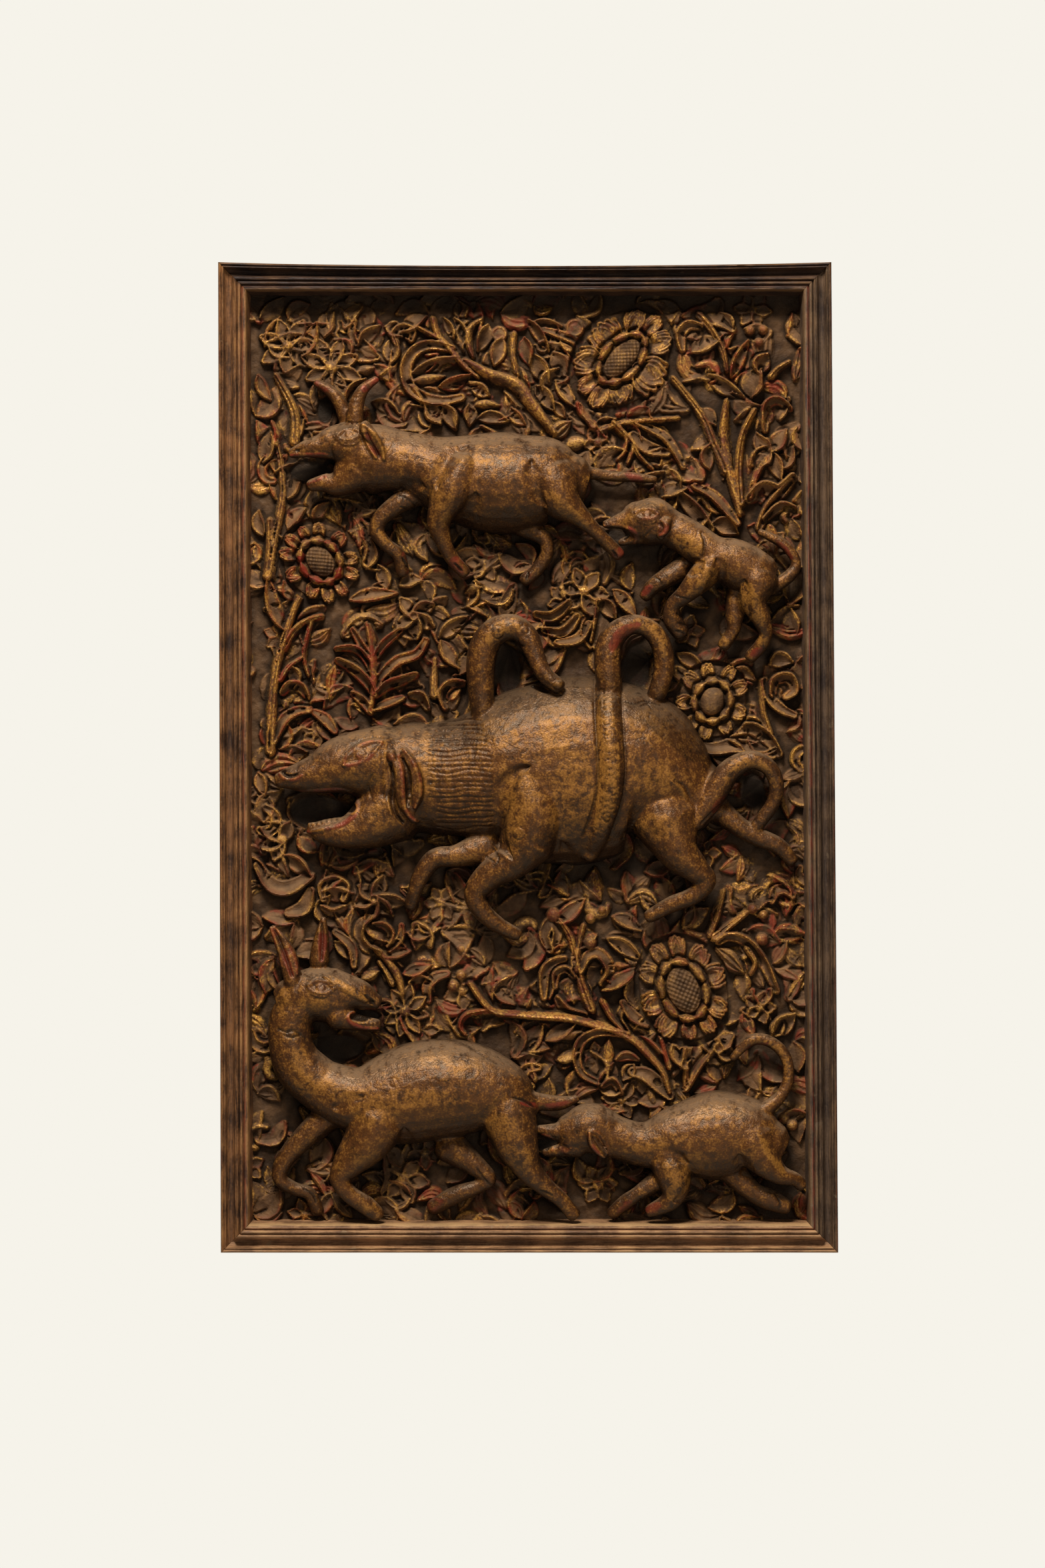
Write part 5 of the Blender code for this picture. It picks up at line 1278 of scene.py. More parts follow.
# an almond eye: lids as two arcs, a ball between them, wrinkles around
def eye(carving, gx, gy, long, tall, turn=0.0, wrinkles=1, red=0.0):
    c, n = math.cos(math.radians(turn)), math.sin(math.radians(turn))

    def spot(u, v):
        return gx + u * c - v * n, gy + u * n + v * c

    carving.boss(gx, gy, long * 0.5, -0.9, tall * 0.55, turn, base=0.7, mode="add")
    for side in (-1, 1):
        for k in range(wrinkles + 1):
            out = 1 + 0.55 * k
            spots = [spot(u * long * (0.56 + 0.1 * k), side * v * tall * 0.62 * out)
                     for u, v in ((-1, 0.08), (-0.5, 0.82), (0, 1), (0.5, 0.82), (1, 0.08))]
            route = [part for place in spots for part in place]
            ridge(carving, route, 2.4 if k == 0 else 2.0, 1.5 if k == 0 else 0.8, red=red if k == 0 else 0)
            outer = [spot(u * long * (0.6 + 0.1 * k), side * v * tall * 0.62 * (out + 0.28))
                     for u, v in ((-1, 0.08), (-0.5, 0.82), (0, 1), (0.5, 0.82), (1, 0.08))]
            groove(carving, [part for place in outer for part in place], 1.4, 0.7, dirtAndShade=0.4)
    ball = spot(0, 0.02 * tall)
    carving.boss(*ball, tall * 0.42, 1.5, base=0.3, mode="add", red=red)
    carving.boss(*ball, tall * 0.2, -0.6, base=0.5, mode="add")


def hornedBeastCarving(carving):
    eye(carving, 525, 652, 30, 13, -8, 2)
    groove(carving, (505, 662, 498, 672, 500, 684), 1.6, 0.9)
    ridge(carving, (437, 683, 462, 683, 490, 684, 499, 694, 489, 714), 3.2, 1.3, red=1.0)
    # the open mouth, cut deep and painted black as shade
    groove(carving, (478, 700, 488, 701, 496, 704), 6.0, 5.0, dirtAndShade=1.0)
    ridge(carving, (458, 727, 474, 720, 490, 709), 2.4, 1.0, red=1.0)
    groove(carving, (440, 676, 452, 674, 462, 670), 1.4, 1.0)
    carving.boss(447, 676, 3, -1.5, 2, mode="add", dirtAndShade=1)
    # the ear, two ridges with a red hollow between them
    groove(carving, (552, 652, 558, 668, 570, 686), 4.0, 3.0, red=1.0, dirtAndShade=0.2)
    ridge(carving, (546, 640, 552, 660, 566, 688), 3.0, 2.2, gilt=0.6)
    ridge(carving, (548, 638, 564, 654, 574, 672, 578, 690), 3.0, 2.4, gilt=0.6)
    groove(carving, (540, 645, 546, 665, 560, 690), 1.8, 1.4)
    stain(carving, (547, 584, 566, 568), 8, red=1.0)
    stain(carving, (494, 584, 476, 573), 7, red=1.0)
    for k in range(5):
        gx = 530 + k * 1.2
        groove(carving, (gx - 8, 626 - k * 8, gx + 1, 629 - k * 8, gx + 9, 626 - k * 8), 1.1, 0.5, dirtAndShade=0.2)
    groove(carving, (520, 632, 532, 636, 545, 632), 1.8, 1.4)
    # thigh and shoulder outlines
    fold(carving, (704, 668, 682, 684, 664, 708, 656, 738))
    fold(carving, (716, 740, 712, 760, 700, 778, 684, 790))
    fold(carving, (800, 690, 802, 720, 808, 744, 822, 762))
    fold(carving, (600, 735, 620, 728, 640, 732))
    for route in ((597, 742, 612, 748, 630, 762), (602, 760, 616, 764), (608, 742, 606, 752)):
        groove(carving, route, 1.2, 1.0, dirtAndShade=0.8)
    for gx, gy in ((617, 833), (600, 858), (688, 846), (699, 858), (935, 832), (914, 842), (790, 868),
                   (676, 858)):
        carving.boss(gx, gy, 13, 0.01, 11, mode="add", red=0.9)
    for route in ((684, 846, 694, 856), (604, 836, 612, 850), (922, 826, 928, 836), (794, 858, 792, 868)):
        groove(carving, route, 1.8, 2.4, dirtAndShade=0.9)
    stain(carving, (945, 708, 956, 714, 964, 720), 8, red=1.0)
    stain(carving, (880, 716, 915, 720, 950, 722), 3, gilt=1.0)
    stain(carving, (560, 780, 570, 800, 592, 822), 4, gilt=0.9)
    stain(carving, (660, 700, 664, 740, 668, 780), 18, gilt=0.5)
    stain(carving, (690, 692, 720, 690, 770, 694), 9, gilt=0.6)
    stain(carving, (825, 740, 848, 764, 880, 790), 10, gilt=0.7)
    stain(carving, (560, 650, 600, 676, 640, 690), 10, gilt=0.4)


def upperHoundCarving(carving):
    eye(carving, 973, 771, 30, 12, 4, 2, red=0.4)
    ridge(carving, (944, 792, 953, 798, 957, 806, 955, 815), 3.4, 1.4, red=1.0)
    ridge(carving, (905, 790, 925, 788, 944, 792), 2.2, 0.8, gilt=0.6, red=0.3)
    # the open mouth, cut deep and painted black as shade
    groove(carving, (912, 795, 932, 796, 944, 802, 940, 808), 3.2, 4.0, dirtAndShade=1.0)
    ridge(carving, (995, 782, 1003, 790, 1000, 800, 993, 804), 2.8, 1.6, red=1.0)
    groove(carving, (990, 786, 996, 792, 992, 800), 2.4, 1.6, red=0.5, dirtAndShade=0.3)
    groove(carving, (986, 790, 975, 800, 966, 808), 1.5, 0.8)
    groove(carving, (1055, 800, 1060, 816, 1056, 838), 2.4, 1.6)
    ridge(carving, (1051, 800, 1055, 816, 1051, 836), 2.2, 0.9, gilt=0.8)
    stain(carving, (1022, 812, 1036, 820, 1048, 826), 17, gilt=1.0)
    fold(carving, (1078, 838, 1081, 858, 1072, 880, 1056, 896))
    fold(carving, (1038, 866, 1044, 852, 1058, 842))
    groove(carving, (1014, 892, 1024, 897, 1036, 900), 1.4, 1.2, dirtAndShade=0.9)
    groove(carving, (985, 865, 992, 870, 998, 880), 1.4, 1.2, dirtAndShade=0.9)
    groove(carving, (1124, 808, 1140, 816, 1158, 832), 1.5, 1.8, dirtAndShade=1.0)
    fold(carving, (1118, 870, 1118, 900, 1128, 930))
    stain(carving, (1050, 852, 1066, 866, 1052, 892), 15, gilt=0.9)
    stain(carving, (1122, 880, 1128, 905, 1144, 932), 14, gilt=1.0)
    stain(carving, (1082, 962, 1092, 964), 10, gilt=1.0)
    stain(carving, (1146, 956, 1150, 966), 8, gilt=1.0)
    stain(carving, (1130, 984, 1144, 974), 6, red=1.0)
    stain(carving, (1156, 806, 1178, 820, 1192, 836), 4, red=1.0)
    stain(carving, (978, 880, 968, 890), 6, red=1.0)
    stain(carving, (940, 782, 955, 768, 975, 757, 995, 757), 5, gilt=0.8)
    for route in ((1018, 920, 1028, 926), (1020, 934, 1034, 938), (1016, 946, 1030, 950)):
        groove(carving, route, 1.6, 1.6, dirtAndShade=0.8)


def boarCarving(carving):
    # the eye's almond, its iris and lids
    carving.ribbon((513, 1146, 542, 1132, 573, 1114), 13, -0.9, "leaf", "flat", "add")
    ridge(carving, (515, 1147, 521, 1135, 538, 1120, 558, 1113, 573, 1113), 3.0, 1.6, red=0.8)
    ridge(carving, (515, 1148, 530, 1147, 548, 1140, 562, 1127, 573, 1114), 3.0, 1.5, red=0.8)
    groove(carving, (510, 1140, 520, 1124, 540, 1111, 560, 1106, 577, 1108), 1.8, 0.9)
    carving.boss(541, 1131, 8, 1.6, base=0.4, mode="add", red=0.6)
    carving.boss(541, 1131, 4.4, -0.5, base=0.6, mode="add")
    # muzzle, nostril, lips, gums and teeth
    groove(carving, (421, 1156, 428, 1163, 437, 1164, 445, 1161), 2.6, 2.2, dirtAndShade=1.0)
    ridge(carving, (418, 1160, 426, 1168, 440, 1170, 452, 1163), 2.6, 1.0, red=0.6)
    carving.boss(424, 1157, 3, -1.6, base=0.7, mode="add", dirtAndShade=1)
    gums = (412, 1184, 438, 1189, 470, 1188, 505, 1186, 524, 1192, 534, 1206, 530, 1222, 512, 1236, 484, 1244,
            458, 1249)
    ridge(carving, gums, 4.0, 1.7, red=1.0)
    groove(carving, (420, 1189, 446, 1195, 480, 1196, 510, 1195), 1.8, 1.8, dirtAndShade=0.8)
    ridge(carving, (426, 1194, 452, 1199, 486, 1199, 514, 1199), 1.8, 1.2, red=0.5)
    # the open mouth, cut deep and painted black as shade
    carving.ribbon((500, 1208, 514, 1208, 526, 1212), 10, -7.0, "curl", "flat", "add", dirtAndShade=1.0)
    ridge(carving, (462, 1236, 484, 1232, 506, 1226), 3.4, 1.2, gilt=0.2)
    for k in range(6):
        gx = 464 + k * 8
        groove(carving, (gx, 1241 - k * 2.2, gx + 1, 1229 - k * 1.6), 1.2, 1.2, dirtAndShade=0.6)
    # ear lobes
    groove(carving, (586, 1146, 590, 1170, 588, 1196, 594, 1220, 604, 1234), 5.0, 3.4, dirtAndShade=0.5)
    groove(carving, (605, 1140, 613, 1160, 614, 1186, 612, 1210), 4.0, 3.0, dirtAndShade=0.6)
    ridge(carving, (598, 1132, 604, 1156, 604, 1182, 606, 1208, 616, 1226, 625, 1232), 3.2, 1.8, red=0.7)
    ridge(carving, (606, 1124, 620, 1142, 629, 1166, 630, 1190, 622, 1212), 3.2, 1.8, red=0.5)
    ridge(carving, (578, 1128, 577, 1160, 580, 1196, 586, 1222), 2.6, 1.2, gilt=0.7)
    carving.boss(586, 1136, 6.5, 1.8, base=0.4, mode="add", red=0.3)
    for k in range(11):
        gy = 1132 + k * 8
        gx = 615 + 14 * math.sin(math.pi * (k + 1) / 12)
        groove(carving, (gx, gy, gx + 4, gy + 2), 1.0, 0.7, dirtAndShade=0.2)
    groove(carving, (560, 1160, 552, 1178, 556, 1196), 3.0, 1.0)
    # mane
    for k in range(22):
        gy = 1080 + k * 7.7
        left, right = (642 if k < 16 else 655), min(722 + k * 2, 738)
        sway = 1.6 * math.sin(k * 1.7)
        wave = (left, gy + sway, left + 30, gy + 2 - sway, left + 62, gy - 1 + sway, right, gy + 1.5)
        groove(carving, wave, 1.9,
               0.9, dirtAndShade=0.2)
    # shoulder, hip and belly lines
    back = (690, 1092, 760, 1062, 830, 1042, 900, 1040, 970, 1050, 1050, 1110)
    stain(carving, back, 34, dirtAndShade=0.55, shape="band")
    fold(carving, (796, 1148, 768, 1164, 748, 1196, 744, 1232, 750, 1262, 770, 1290), 24.0, 5.0)
    fold(carving, (842, 1262, 850, 1284, 836, 1304, 808, 1316))
    ridge(carving, (1008, 1172, 1022, 1184, 1030, 1200), 2.6, 1.0, gilt=0.9)
    groove(carving, (1012, 1170, 1028, 1180, 1036, 1198), 1.8, 1.2)
    fold(carving, (952, 1240, 944, 1262, 950, 1286, 966, 1300))
    for route in ((935, 1051, 952, 1056, 968, 1052, 992, 1058), (962, 1060, 972, 1056, 980, 1064),
                  (738, 1270, 748, 1288, 740, 1300), (728, 1284, 742, 1292)):
        groove(carving, route, 1.1, 1.0, dirtAndShade=0.9)
    # the serpent's band: edges, scales and hatching
    centre = [(913, 1016), (914, 1040), (914, 1070), (916, 1110), (918, 1150), (915, 1190), (907, 1222),
              (895, 1255)]
    for side in (-1, 1):
        border = [part for gx, gy in centre for part in (gx + side * 21, gy)]
        groove(carving, border, 2.2, 1.6, dirtAndShade=0.5, shape="band")
    rows = smoothRow(centre, 8)
    for k in range(22):
        gx, gy = rows[min(int(2 + k * 2.5), len(rows) - 1)]
        for column in (-5, 5):
            shift = 4 if column > 0 else 0
            spots = [(gx + column + 4.6 * math.cos(a), gy + shift + 4.2 * math.sin(a))
                     for a in (0.5, 1.6, 2.8, 4.0)]
            groove(carving, [part for spot in spots for part in spot], 1.0, 0.8, dirtAndShade=0.3)
        groove(carving, (gx + 12, gy, gx + 18, gy + 2), 1.0, 0.8, dirtAndShade=0.3)
    stain(carving, (908, 1050, 912, 1130, 912, 1190, 900, 1240), 17, gilt=1.0)
    # the serpent's head at the end of its left loop
    carving.boss(838, 1028, 6, 1.8, base=0.4, mode="add", gilt=0.5)
    groove(carving, (830, 1024, 834, 1020, 842, 1020), 1.2, 1.0)
    groove(carving, (800, 1029, 812, 1034, 822, 1038), 3.4, 3.4, dirtAndShade=1.0)
    ridge(carving, (798, 1018, 812, 1024, 826, 1034, 842, 1040), 2.6, 1.2)
    for gx, gy, reach in ((748, 949, 8), (788, 945, 5), (786, 962, 6), (778, 1250, 8), (910, 1226, 5),
                          (922, 982, 5)):
        peg(carving, gx, gy, reach)
    # loops and tail
    groove(carving, (1052, 1236, 1062, 1226, 1090, 1200, 1102, 1182), 2.4, 1.6)
    stain(carving, (918, 975, 932, 952, 958, 938), 8, red=0.9)
    stain(carving, (940, 948, 965, 934, 990, 948, 1000, 985), 8, gilt=0.9)
    stain(carving, (735, 960, 752, 942, 780, 942), 10, gilt=0.8)
    stain(carving, (1090, 1168, 1116, 1146, 1146, 1150, 1164, 1178), 6, gilt=0.9)
    stain(carving, (1072, 1216, 1090, 1196), 7, red=0.8)
    # where gilding is left
    gildedPlaces = (
        (780, 1190, 30, 34), (840, 1090, 34, 40), (860, 1180, 30, 60), (850, 1230, 26, 30),
        (975, 1090, 30, 26), (980, 1170, 34, 24), (745, 1100, 30, 22), (560, 1100, 40, 12),
        (640, 1150, 14, 50), (540, 1170, 30, 14), (570, 1225, 16, 26), (690, 1290, 26, 8),
        (985, 1240, 34, 20), (770, 1230, 16, 40),
    )
    for gx, gy, wide, tall in gildedPlaces:
        carving.boss(gx, gy, wide, 0.01, tall, mode="add", gilt=0.6)


def deerCarving(carving):
    eye(carving, 480, 1480, 34, 15, 5, 1, red=0.1)
    ridge(carving, (486, 1464, 505, 1474, 525, 1486, 546, 1500), 6.0, 1.6, gilt=1.0)
    groove(carving, (546, 1492, 556, 1500, 560, 1508), 2.0, 1.6, dirtAndShade=0.8)
    carving.boss(557, 1503, 4, -1.8, 3, mode="add", dirtAndShade=1.0)
    lips = (566, 1516, 548, 1515, 532, 1517, 522, 1526, 527, 1536, 545, 1542, 564, 1543)
    ridge(carving, lips, 3.0, 1.4, red=1.0)
    # the open mouth, cut deep and painted black as shade
    carving.ribbon((528, 1525, 540, 1525, 552, 1524), 6.0, -6.0, "curl", "flat", "add", dirtAndShade=1.0)
    ridge(carving, (536, 1533, 550, 1536, 562, 1535), 2.2, 1.0)
    for k in range(4):
        groove(carving, (540 + k * 6, 1531, 541 + k * 6, 1538), 1.0, 0.8, dirtAndShade=0.4)
    # ears: a hollow with red edges
    groove(carving, (411, 1396, 421, 1420, 430, 1444, 437, 1464), 4.4, 2.6, red=0.8, dirtAndShade=0.2)
    ridge(carving, (409, 1390, 428, 1412, 442, 1440, 444, 1462), 2.4, 1.2, red=0.5)
    ridge(carving, (404, 1392, 414, 1420, 422, 1450), 2.4, 1.2, red=0.4)
    groove(carving, (480, 1386, 482, 1410, 480, 1440), 5.0, 2.4, red=1.0, dirtAndShade=0.2)
    groove(carving, (442, 1464, 452, 1462, 462, 1466), 1.6, 1.0)
    # the old loss across the neck
    for route in ((414, 1542, 428, 1548, 440, 1546, 458, 1560), (424, 1552, 436, 1556, 450, 1552)):
        groove(carving, route, 2.4, 1.4, dirtAndShade=0.4, gilt=0.6)
    carving.boss(450, 1516, 9, 0.5, base=0.9, mode="add")
    fold(carving, (496, 1662, 516, 1654, 545, 1642))
    fold(carving, (604, 1690, 606, 1712, 596, 1730, 580, 1744))
    fold(carving, (720, 1690, 724, 1712, 740, 1736))
    groove(carving, (573, 1577, 610, 1562, 646, 1558, 690, 1566, 744, 1596), 1.2, 0.9, dirtAndShade=0.6)
    groove(carving, (768, 1645, 784, 1650, 798, 1660), 2.0, 1.8, dirtAndShade=0.9)
    peg(carving, 588, 1622, 5, 0.1)
    peg(carving, 649, 1623, 5, 0.1)
    for route in ((452, 1784, 466, 1794, 470, 1806), (470, 1788, 480, 1800, 484, 1822),
                  (808, 1785, 826, 1792)):
        groove(carving, route, 1.6, 1.4, dirtAndShade=0.9)
    groove(carving, (712, 1752, 722, 1768, 734, 1780), 1.8, 1.4, dirtAndShade=0.7)
    stain(carving, (640, 1816, 660, 1808), 14, red=0.8)
    stain(carving, (780, 1653, 820, 1660, 860, 1652), 4, red=1.0)
    stain(carving, (408, 1396, 414, 1420), 6, red=0.8)
    stain(carving, (545, 1808, 560, 1820), 10, gilt=0.8)
    gildedPlaces = (
        (655, 1588, 30, 12), (700, 1600, 22, 14), (620, 1645, 60, 14), (560, 1665, 34, 20),
        (470, 1625, 30, 16), (520, 1640, 30, 10), (750, 1690, 26, 20), (770, 1740, 26, 26),
        (470, 1505, 26, 10), (424, 1505, 12, 22), (560, 1740, 30, 14), (448, 1592, 12, 20),
    )
    for gx, gy, wide, tall in gildedPlaces:
        carving.boss(gx, gy, wide, 0.01, tall, mode="add", gilt=0.65)


def lowerHoundCarving(carving):
    eye(carving, 846, 1722, 14, 11, 0, 0, red=0.3)
    # the open mouth, cut deep and painted black as shade
    groove(carving, (802, 1712, 812, 1710, 822, 1716, 818, 1724), 3.6, 4.0, dirtAndShade=1.0)
    ridge(carving, (800, 1706, 815, 1704, 828, 1712, 826, 1726), 2.2, 1.2, red=0.7)
    ridge(carving, (882, 1698, 884, 1714, 896, 1730, 912, 1738), 2.8, 1.8, red=0.9)
    ridge(carving, (888, 1694, 900, 1704, 908, 1722, 914, 1738), 2.6, 1.6, red=0.4)
    groove(carving, (888, 1704, 896, 1716, 906, 1732), 2.8, 1.8, dirtAndShade=0.5)
    for k in range(3):
        groove(carving, (834 - k * 8, 1704 + k, 850 - k * 8, 1708 + k), 1.0, 0.7)
    fold(carving, (984, 1750, 992, 1738, 1012, 1734, 1030, 1744))
    fold(carving, (1034, 1758, 1036, 1778, 1024, 1794, 1006, 1802))
    fold(carving, (1104, 1730, 1112, 1748, 1130, 1762))
    groove(carving, (1160, 1792, 1168, 1804, 1166, 1816), 1.3, 1.2, dirtAndShade=0.9)
    stain(carving, (1002, 1748, 1014, 1766, 1008, 1790), 20, gilt=0.8)
    stain(carving, (1110, 1584, 1130, 1570, 1156, 1568, 1178, 1590, 1180, 1622), 5, gilt=0.7)
    stain(carving, (1106, 1592, 1122, 1574, 1150, 1566), 3, red=0.8)
    stain(carving, (925, 1818, 942, 1804), 6, red=0.8)
    stain(carving, (970, 1816, 984, 1808), 8, red=0.6)
    stain(carving, (1135, 1700, 1152, 1730, 1176, 1762), 6, gilt=1.0)
    stain(carving, (1040, 1680, 1070, 1664, 1110, 1670), 12, gilt=0.7)
    stain(carving, (950, 1722, 990, 1712, 1020, 1704), 10, gilt=0.5)
    stain(carving, (1030, 1740, 1060, 1750), 20, gilt=0.5)


# the band lies over the oval of the flank
serpentBand = [(913, 1016, 18), (914, 1040, 19), (914, 1070, 19), (916, 1110, 19), (918, 1150, 20),
               (915, 1190, 20), (907, 1222, 19), (895, 1255, 17), (884, 1280, 14)]
boarLimbs["serpent band"] = []
for gx, gy, half in serpentBand:
    share = (gy - animals["flankMiddle"]) / animals["flankHalf"]
    crest = animals["flankCrest"] * math.sqrt(max(1 - share ** 2, 0.02)) + animals["bandStandsOut"]
    boarLimbs["serpent band"].append((gx, gy, half, crest))
animalSettings = {
    "horned_beast": {"limbs": hornedBeastLimbs, "carve": hornedBeastCarving, "mostTriangles": 115000},
    "upper_hound": {"limbs": upperHoundLimbs, "carve": upperHoundCarving, "mostTriangles": 60000},
    "boar_with_serpent": {"limbs": boarLimbs, "carve": boarCarving, "mostTriangles": 180000},
    "deer_looking_back": {"limbs": deerLimbs, "carve": deerCarving, "mostTriangles": 115000},
    "lower_hound": {"limbs": lowerHoundLimbs, "carve": lowerHoundCarving, "mostTriangles": 65000},
}
for node, settings in animalSettings.items():
    carvedAnimal(node + "_carved", node, settings)
print("stage: animals carved")

# painted shadow and grime below each body, shifted down the planks by each limb's height; the mouths and
# loops are cleared and painted black as shade
for settings in animalSettings.values():
    for stations in settings["limbs"].values():
        for gx, gy, half, crest in smoothRow(stations, 3):
            ground.boss(gx + 3, gy + crest * 0.45, half + 5, 0.0, mode="add", dirtAndShade=0.75)
ground.layers["dirtAndShade"] = blurred(ground.layers["dirtAndShade"], 8)
for gx, gy, wide, tall in planks["hollows"]:
    ground.hollow(gx, gy, wide, tall)
carvedPlank("left_plank_carved", "board_left_plank", 0.0, panel["jointShare"] - 0.00003)
carvedPlank("right_plank_carved", "board_right_plank", panel["jointShare"], 1.0)
print("stage: planks carved")


# The mitred moulding.

moulding = {
    # inset from the outer edge and height above the ground, as shares, from the back round to the foot
    "profile": [
        (0.00, -0.5294), (0.00, 0.20), (0.00, 0.72), (0.008, 0.86), (0.025, 0.95), (0.05, 0.99),
        (0.075, 1.00), (0.105, 0.97), (0.12, 0.93), (0.13, 0.94), (0.145, 0.985), (0.165, 0.99),
        (0.18, 0.955), (0.19, 0.91), (0.205, 0.84), (0.235, 0.765), (0.28, 0.715), (0.33, 0.69),
        (0.38, 0.705), (0.42, 0.75), (0.445, 0.82), (0.465, 0.90), (0.48, 0.935), (0.50, 0.945),
        (0.515, 0.985), (0.54, 1.00), (0.565, 0.985), (0.58, 0.945), (0.595, 0.91), (0.605, 0.875),
        (0.615, 0.90), (0.64, 0.985), (0.67, 1.00), (0.70, 0.99), (0.725, 0.95), (0.735, 0.89),
        (0.75, 0.87), (0.765, 0.92), (0.79, 0.945), (0.83, 0.94), (0.87, 0.935), (0.895, 0.90),
        (0.915, 0.78), (0.94, 0.56), (0.97, 0.26), (1.00, 0.01), (0.985, 0.005), (0.70, 0.005),
        (0.476, 0.005), (0.476, -0.25), (0.476, -0.5294),
    ],
    "step": 0.0036,
    "dents": 0.0004,
    "wave": 0.0003,
    "chips": 0.004,
    "sunk": 0.0006,  # keeps the worn face within the solid rail
    "topBow": 0.0038,  # how far the top edge hangs at its middle
}


def rail(name, node, horizontal, farSide, look, seed, bow=0.0):
    profile = moulding["profile"]
    length = panel["topWidth"] if horizontal else panel["height"]
    count = int(length / moulding["step"])
    thing = newGrid(name, count, len(profile))
    share = np.linspace(0, 1, count)[:, None]
    inset = np.array([p[0] for p in profile])[None, :] * panel["mouldingWidth"]
    rise = np.array([p[1] for p in profile])[None, :] * panel["mouldingRise"]
    ends = []
    for last in (False, True):
        spots = [cornerOf(last, farSide, i) if horizontal else cornerOf(farSide, last, i) for i in inset[0]]
        trim = panel["gap"] / 2 * (-1 if last else 1)
        ends.append(np.array([(x + trim, z) if horizontal else (x, z + trim) for x, z in spots]))
    x = ends[0][:, 0] * (1 - share) + ends[1][:, 0] * share
    z = ends[0][:, 1] * (1 - share) + ends[1][:, 1] * share
    wear = clouds(count, len(profile), 9, seed, 4) * moulding["dents"]
    wave = clouds(count, 3, 40, seed + 1, 2)[:, :1] * moulding["wave"]
    front = rise > 0.004
    chip = np.clip(clouds(count, len(profile), 7, seed + 2, 2) - 1.0, 0, 1) * moulding["chips"]
    rise = rise + np.where(front, wear + wave - chip - moulding["sunk"], 0)
    rise = np.minimum(rise, panel["mouldingRise"])
    outer = np.clip(1 - inset / panel["mouldingWidth"] * 1.2, 0, 1)
    if bow:
        z = z - np.where(inset >= 0, bow * (4 * share * (1 - share)) ** 0.8 * outer, 0)
    setPoints(thing, np.stack([x, groundY - rise + 0 * x, z], -1).reshape(-1, 3))
    thing.data.validate()
    acrossValues = np.repeat(inset / panel["mouldingWidth"], count, 0)
    alongValues = np.repeat(share * length, len(profile), 1) + 0 * acrossValues
    rises = np.array([p[1] for p in profile])
    smoothed = np.convolve(np.pad(rises, 3, mode="edge"), np.ones(7) / 7, "valid")
    ridge = np.repeat(((rises - smoothed) * 12)[None, :], count, 0)
    ridge[:, (rises < 0.6)] = -0.2
    setLayer(thing, "across", acrossValues)
    setLayer(thing, "along", alongValues)
    setLayer(thing, "ridge", ridge + 0.25 * clouds(count, len(profile), 6, seed + 3, 3))
    closeRail(thing, len(profile), count)
    onlySelected(thing)
    bpy.ops.object.shade_smooth_by_angle(angle=math.radians(38))
    standsFor(thing, node, look)


# joins the two long edges at the back and caps the mitres
def closeRail(thing, around, count):
    bm = bmesh.new()
    bm.from_mesh(thing.data)
    bm.verts.ensure_lookup_table()
    for k in range(count - 1):
        a, b = k * around, (k + 1) * around
        bm.faces.new([bm.verts[i] for i in (a, a + around - 1, b + around - 1, b)])
    bm.faces.new([bm.verts[i] for i in range(around)])
    bm.faces.new([bm.verts[(count - 1) * around + i] for i in reversed(range(around))])
    bmesh.ops.recalc_face_normals(bm, faces=bm.faces)
    bm.to_mesh(thing.data)
    bm.free()


# one lacquer at painted brightnesses: the top rail painted in shade, the bottom rail painted lit, the left
# stile lighter and the right stile darker
lacquers = {
    "top": {
        "dark": tone(38, 24, 15), "body": tone(74, 48, 28), "gold": tone(146, 104, 58),
        "red": tone(84, 34, 22), "bare": tone(86, 62, 42), "deep": tone(10, 7, 5), "gleam": 0.35,
        "redShare": 0.25, "shift": 1.0,
    },
    "bottom": {
        "dark": tone(104, 72, 46), "body": tone(170, 124, 82), "gold": tone(212, 170, 112),
        "red": tone(122, 56, 30), "bare": tone(150, 118, 82), "deep": tone(20, 12, 7),
        "gleam": 0.35, "redShare": 0.35, "shift": 2.0,
    },
    "left": {
        "dark": tone(54, 34, 21), "body": tone(148, 99, 56), "gold": tone(176, 128, 70),
        "red": tone(126, 50, 28), "bare": tone(132, 100, 66), "deep": tone(18, 11, 7), "gleam": 0.3,
        "redShare": 0.6, "shift": 3.0,
    },
    "right": {
        "dark": tone(54, 38, 27), "body": tone(104, 78, 54), "gold": tone(150, 112, 68),
        "red": tone(124, 48, 28), "bare": tone(112, 90, 66), "deep": tone(15, 10, 7), "gleam": 0.25,
        "redShare": 0.8, "shift": 4.0,
    },
}
topLook = lacquerFinish("lacquer painted in shade above", lacquers["top"])
rail("top_rail", "frame_top_rail", True, True, topLook, 21, bow=moulding["topBow"])
bottomLook = lacquerFinish("lacquer painted lit below", lacquers["bottom"])
rail("bottom_rail", "frame_bottom_rail", True, False, bottomLook, 22)
leftLook = lacquerFinish("streaked lacquer left", lacquers["left"])
rail("left_stile", "frame_left_stile", False, False, leftLook, 23)
rightLook = lacquerFinish("streaked lacquer right", lacquers["right"])
rail("right_stile", "frame_right_stile", False, True, rightLook, 24)
print("stage: moulding made")


# Floor, light and camera.

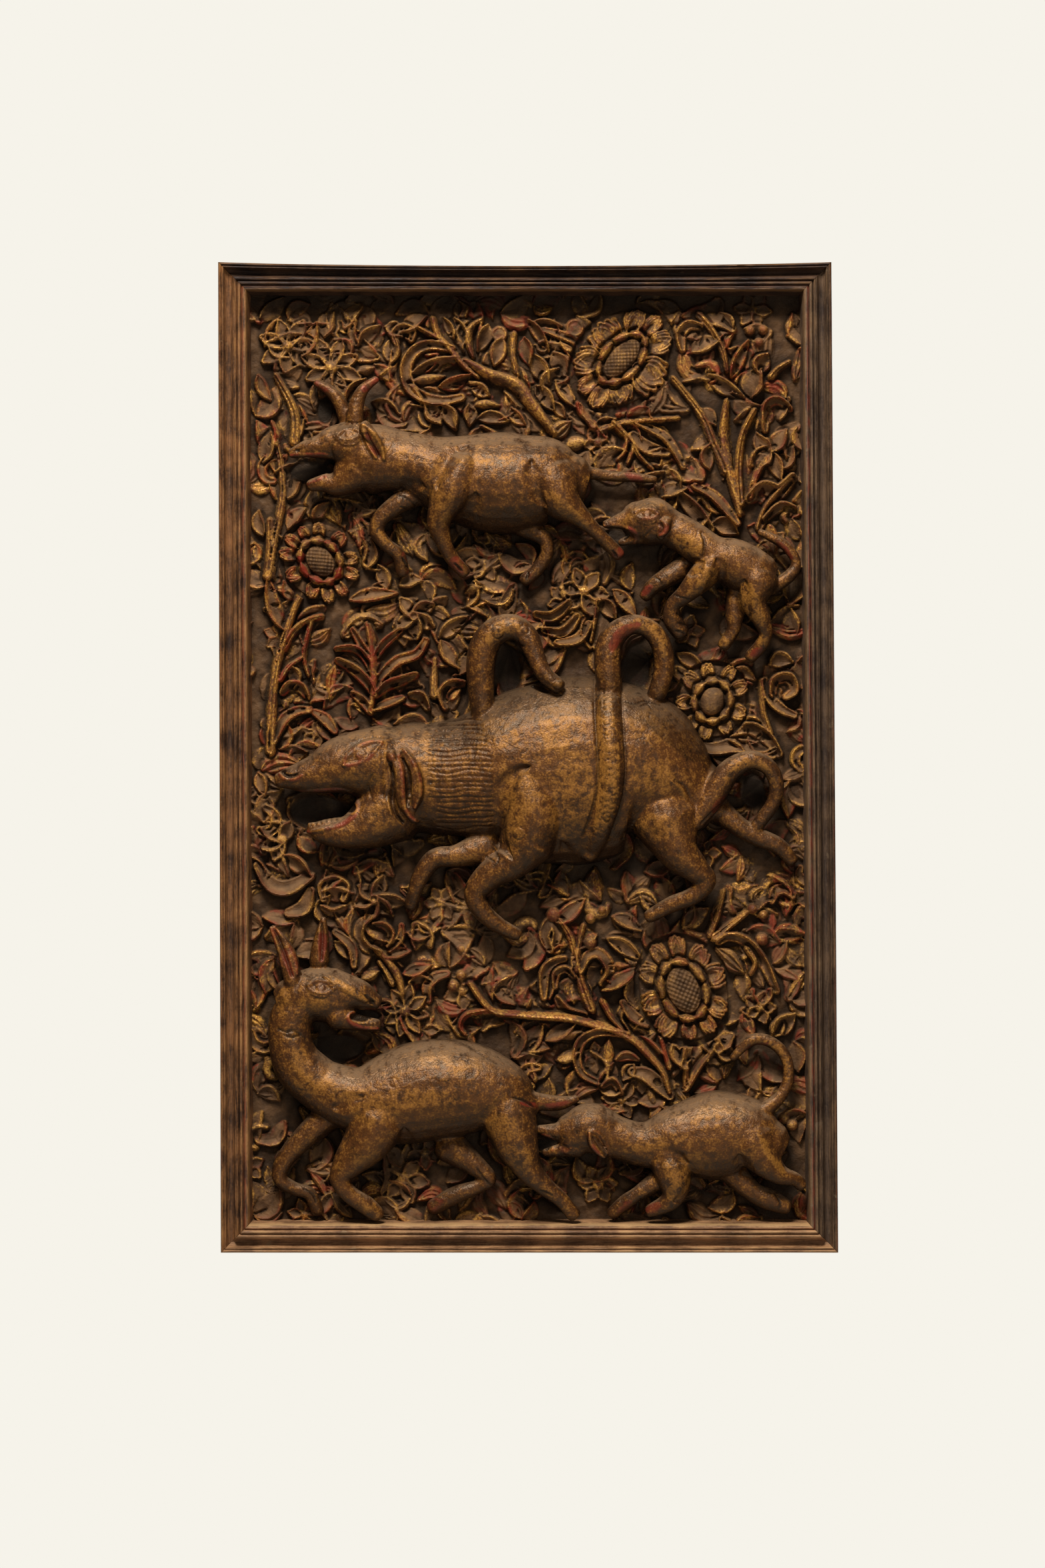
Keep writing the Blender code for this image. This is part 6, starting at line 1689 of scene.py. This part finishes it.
studio = {
    "floorDrop": 1.25,
    "floorReach": 1.7,
    "distance": 5.0,
    "centre": (-0.0045, -0.0258),
    "frameHeight": 1.517,
    "keyPlace": (-0.4, -2.2, 2.55),
    "keySize": 0.9,
    "keyPower": 154,
    "fillPlace": (0.8, -3.2, -0.3),
    "fillSize": 2.2,
    "fillPower": 19,
    "backdrop": tone(246, 243, 234),
    "ambient": 0.05,
}
bpy.ops.mesh.primitive_circle_add(vertices=64, radius=studio["floorReach"], fill_type="NGON",
                                  location=(0, 0, -studio["floorDrop"]))
floor = bpy.context.active_object
floor.name = "floor"
bpy.ops.object.transform_apply(location=True)
floorFinish = Finish("pale floor")
speckle = floorFinish.noise(6, 3)
floor.data.materials.append(floorFinish.done({"Roughness": 0.9}, Base_Color=floorFinish.mix(
    floorFinish.step(speckle, 0.3, 0.7), tone(222, 219, 212), tone(230, 228, 222))))


def softLight(name, place, size, power, target=(0, 0, 0)):
    bpy.ops.object.light_add(type="AREA", location=place)
    light = bpy.context.active_object
    light.name = name
    light.data.size = size
    light.data.energy = power
    light.rotation_euler = (Vector(target) - Vector(place)).to_track_quat("-Z", "Y").to_euler()
    return light


softLight("key", studio["keyPlace"], studio["keySize"], studio["keyPower"])
softLight("fill", studio["fillPlace"], studio["fillSize"], studio["fillPower"])

world = bpy.data.worlds.new("studio")
bpy.context.scene.world = world
world.use_nodes = True
sky = world.node_tree.nodes["Background"]
sky.inputs["Color"].default_value = studio["backdrop"]
sky.inputs["Strength"].default_value = studio["ambient"]
seen = world.node_tree.nodes.new("ShaderNodeBackground")
seen.inputs["Color"].default_value = studio["backdrop"]
mixer = world.node_tree.nodes.new("ShaderNodeMixShader")
path = world.node_tree.nodes.new("ShaderNodeLightPath")
world.node_tree.links.new(path.outputs["Is Camera Ray"], mixer.inputs[0])
world.node_tree.links.new(sky.outputs[0], mixer.inputs[1])
world.node_tree.links.new(seen.outputs[0], mixer.inputs[2])
world.node_tree.links.new(mixer.outputs[0], world.node_tree.nodes["World Output"].inputs["Surface"])
bpy.context.scene.view_settings.view_transform = "Standard"

bpy.ops.object.camera_add(location=(studio["centre"][0], -studio["distance"], studio["centre"][1]),
                          rotation=(math.pi / 2, 0, 0))
camera = bpy.context.active_object
camera.data.sensor_width = 36
camera.data.lens = 36 * (studio["distance"] - 0.052) / studio["frameHeight"]
bpy.context.scene.camera = camera
print("stage: studio set")
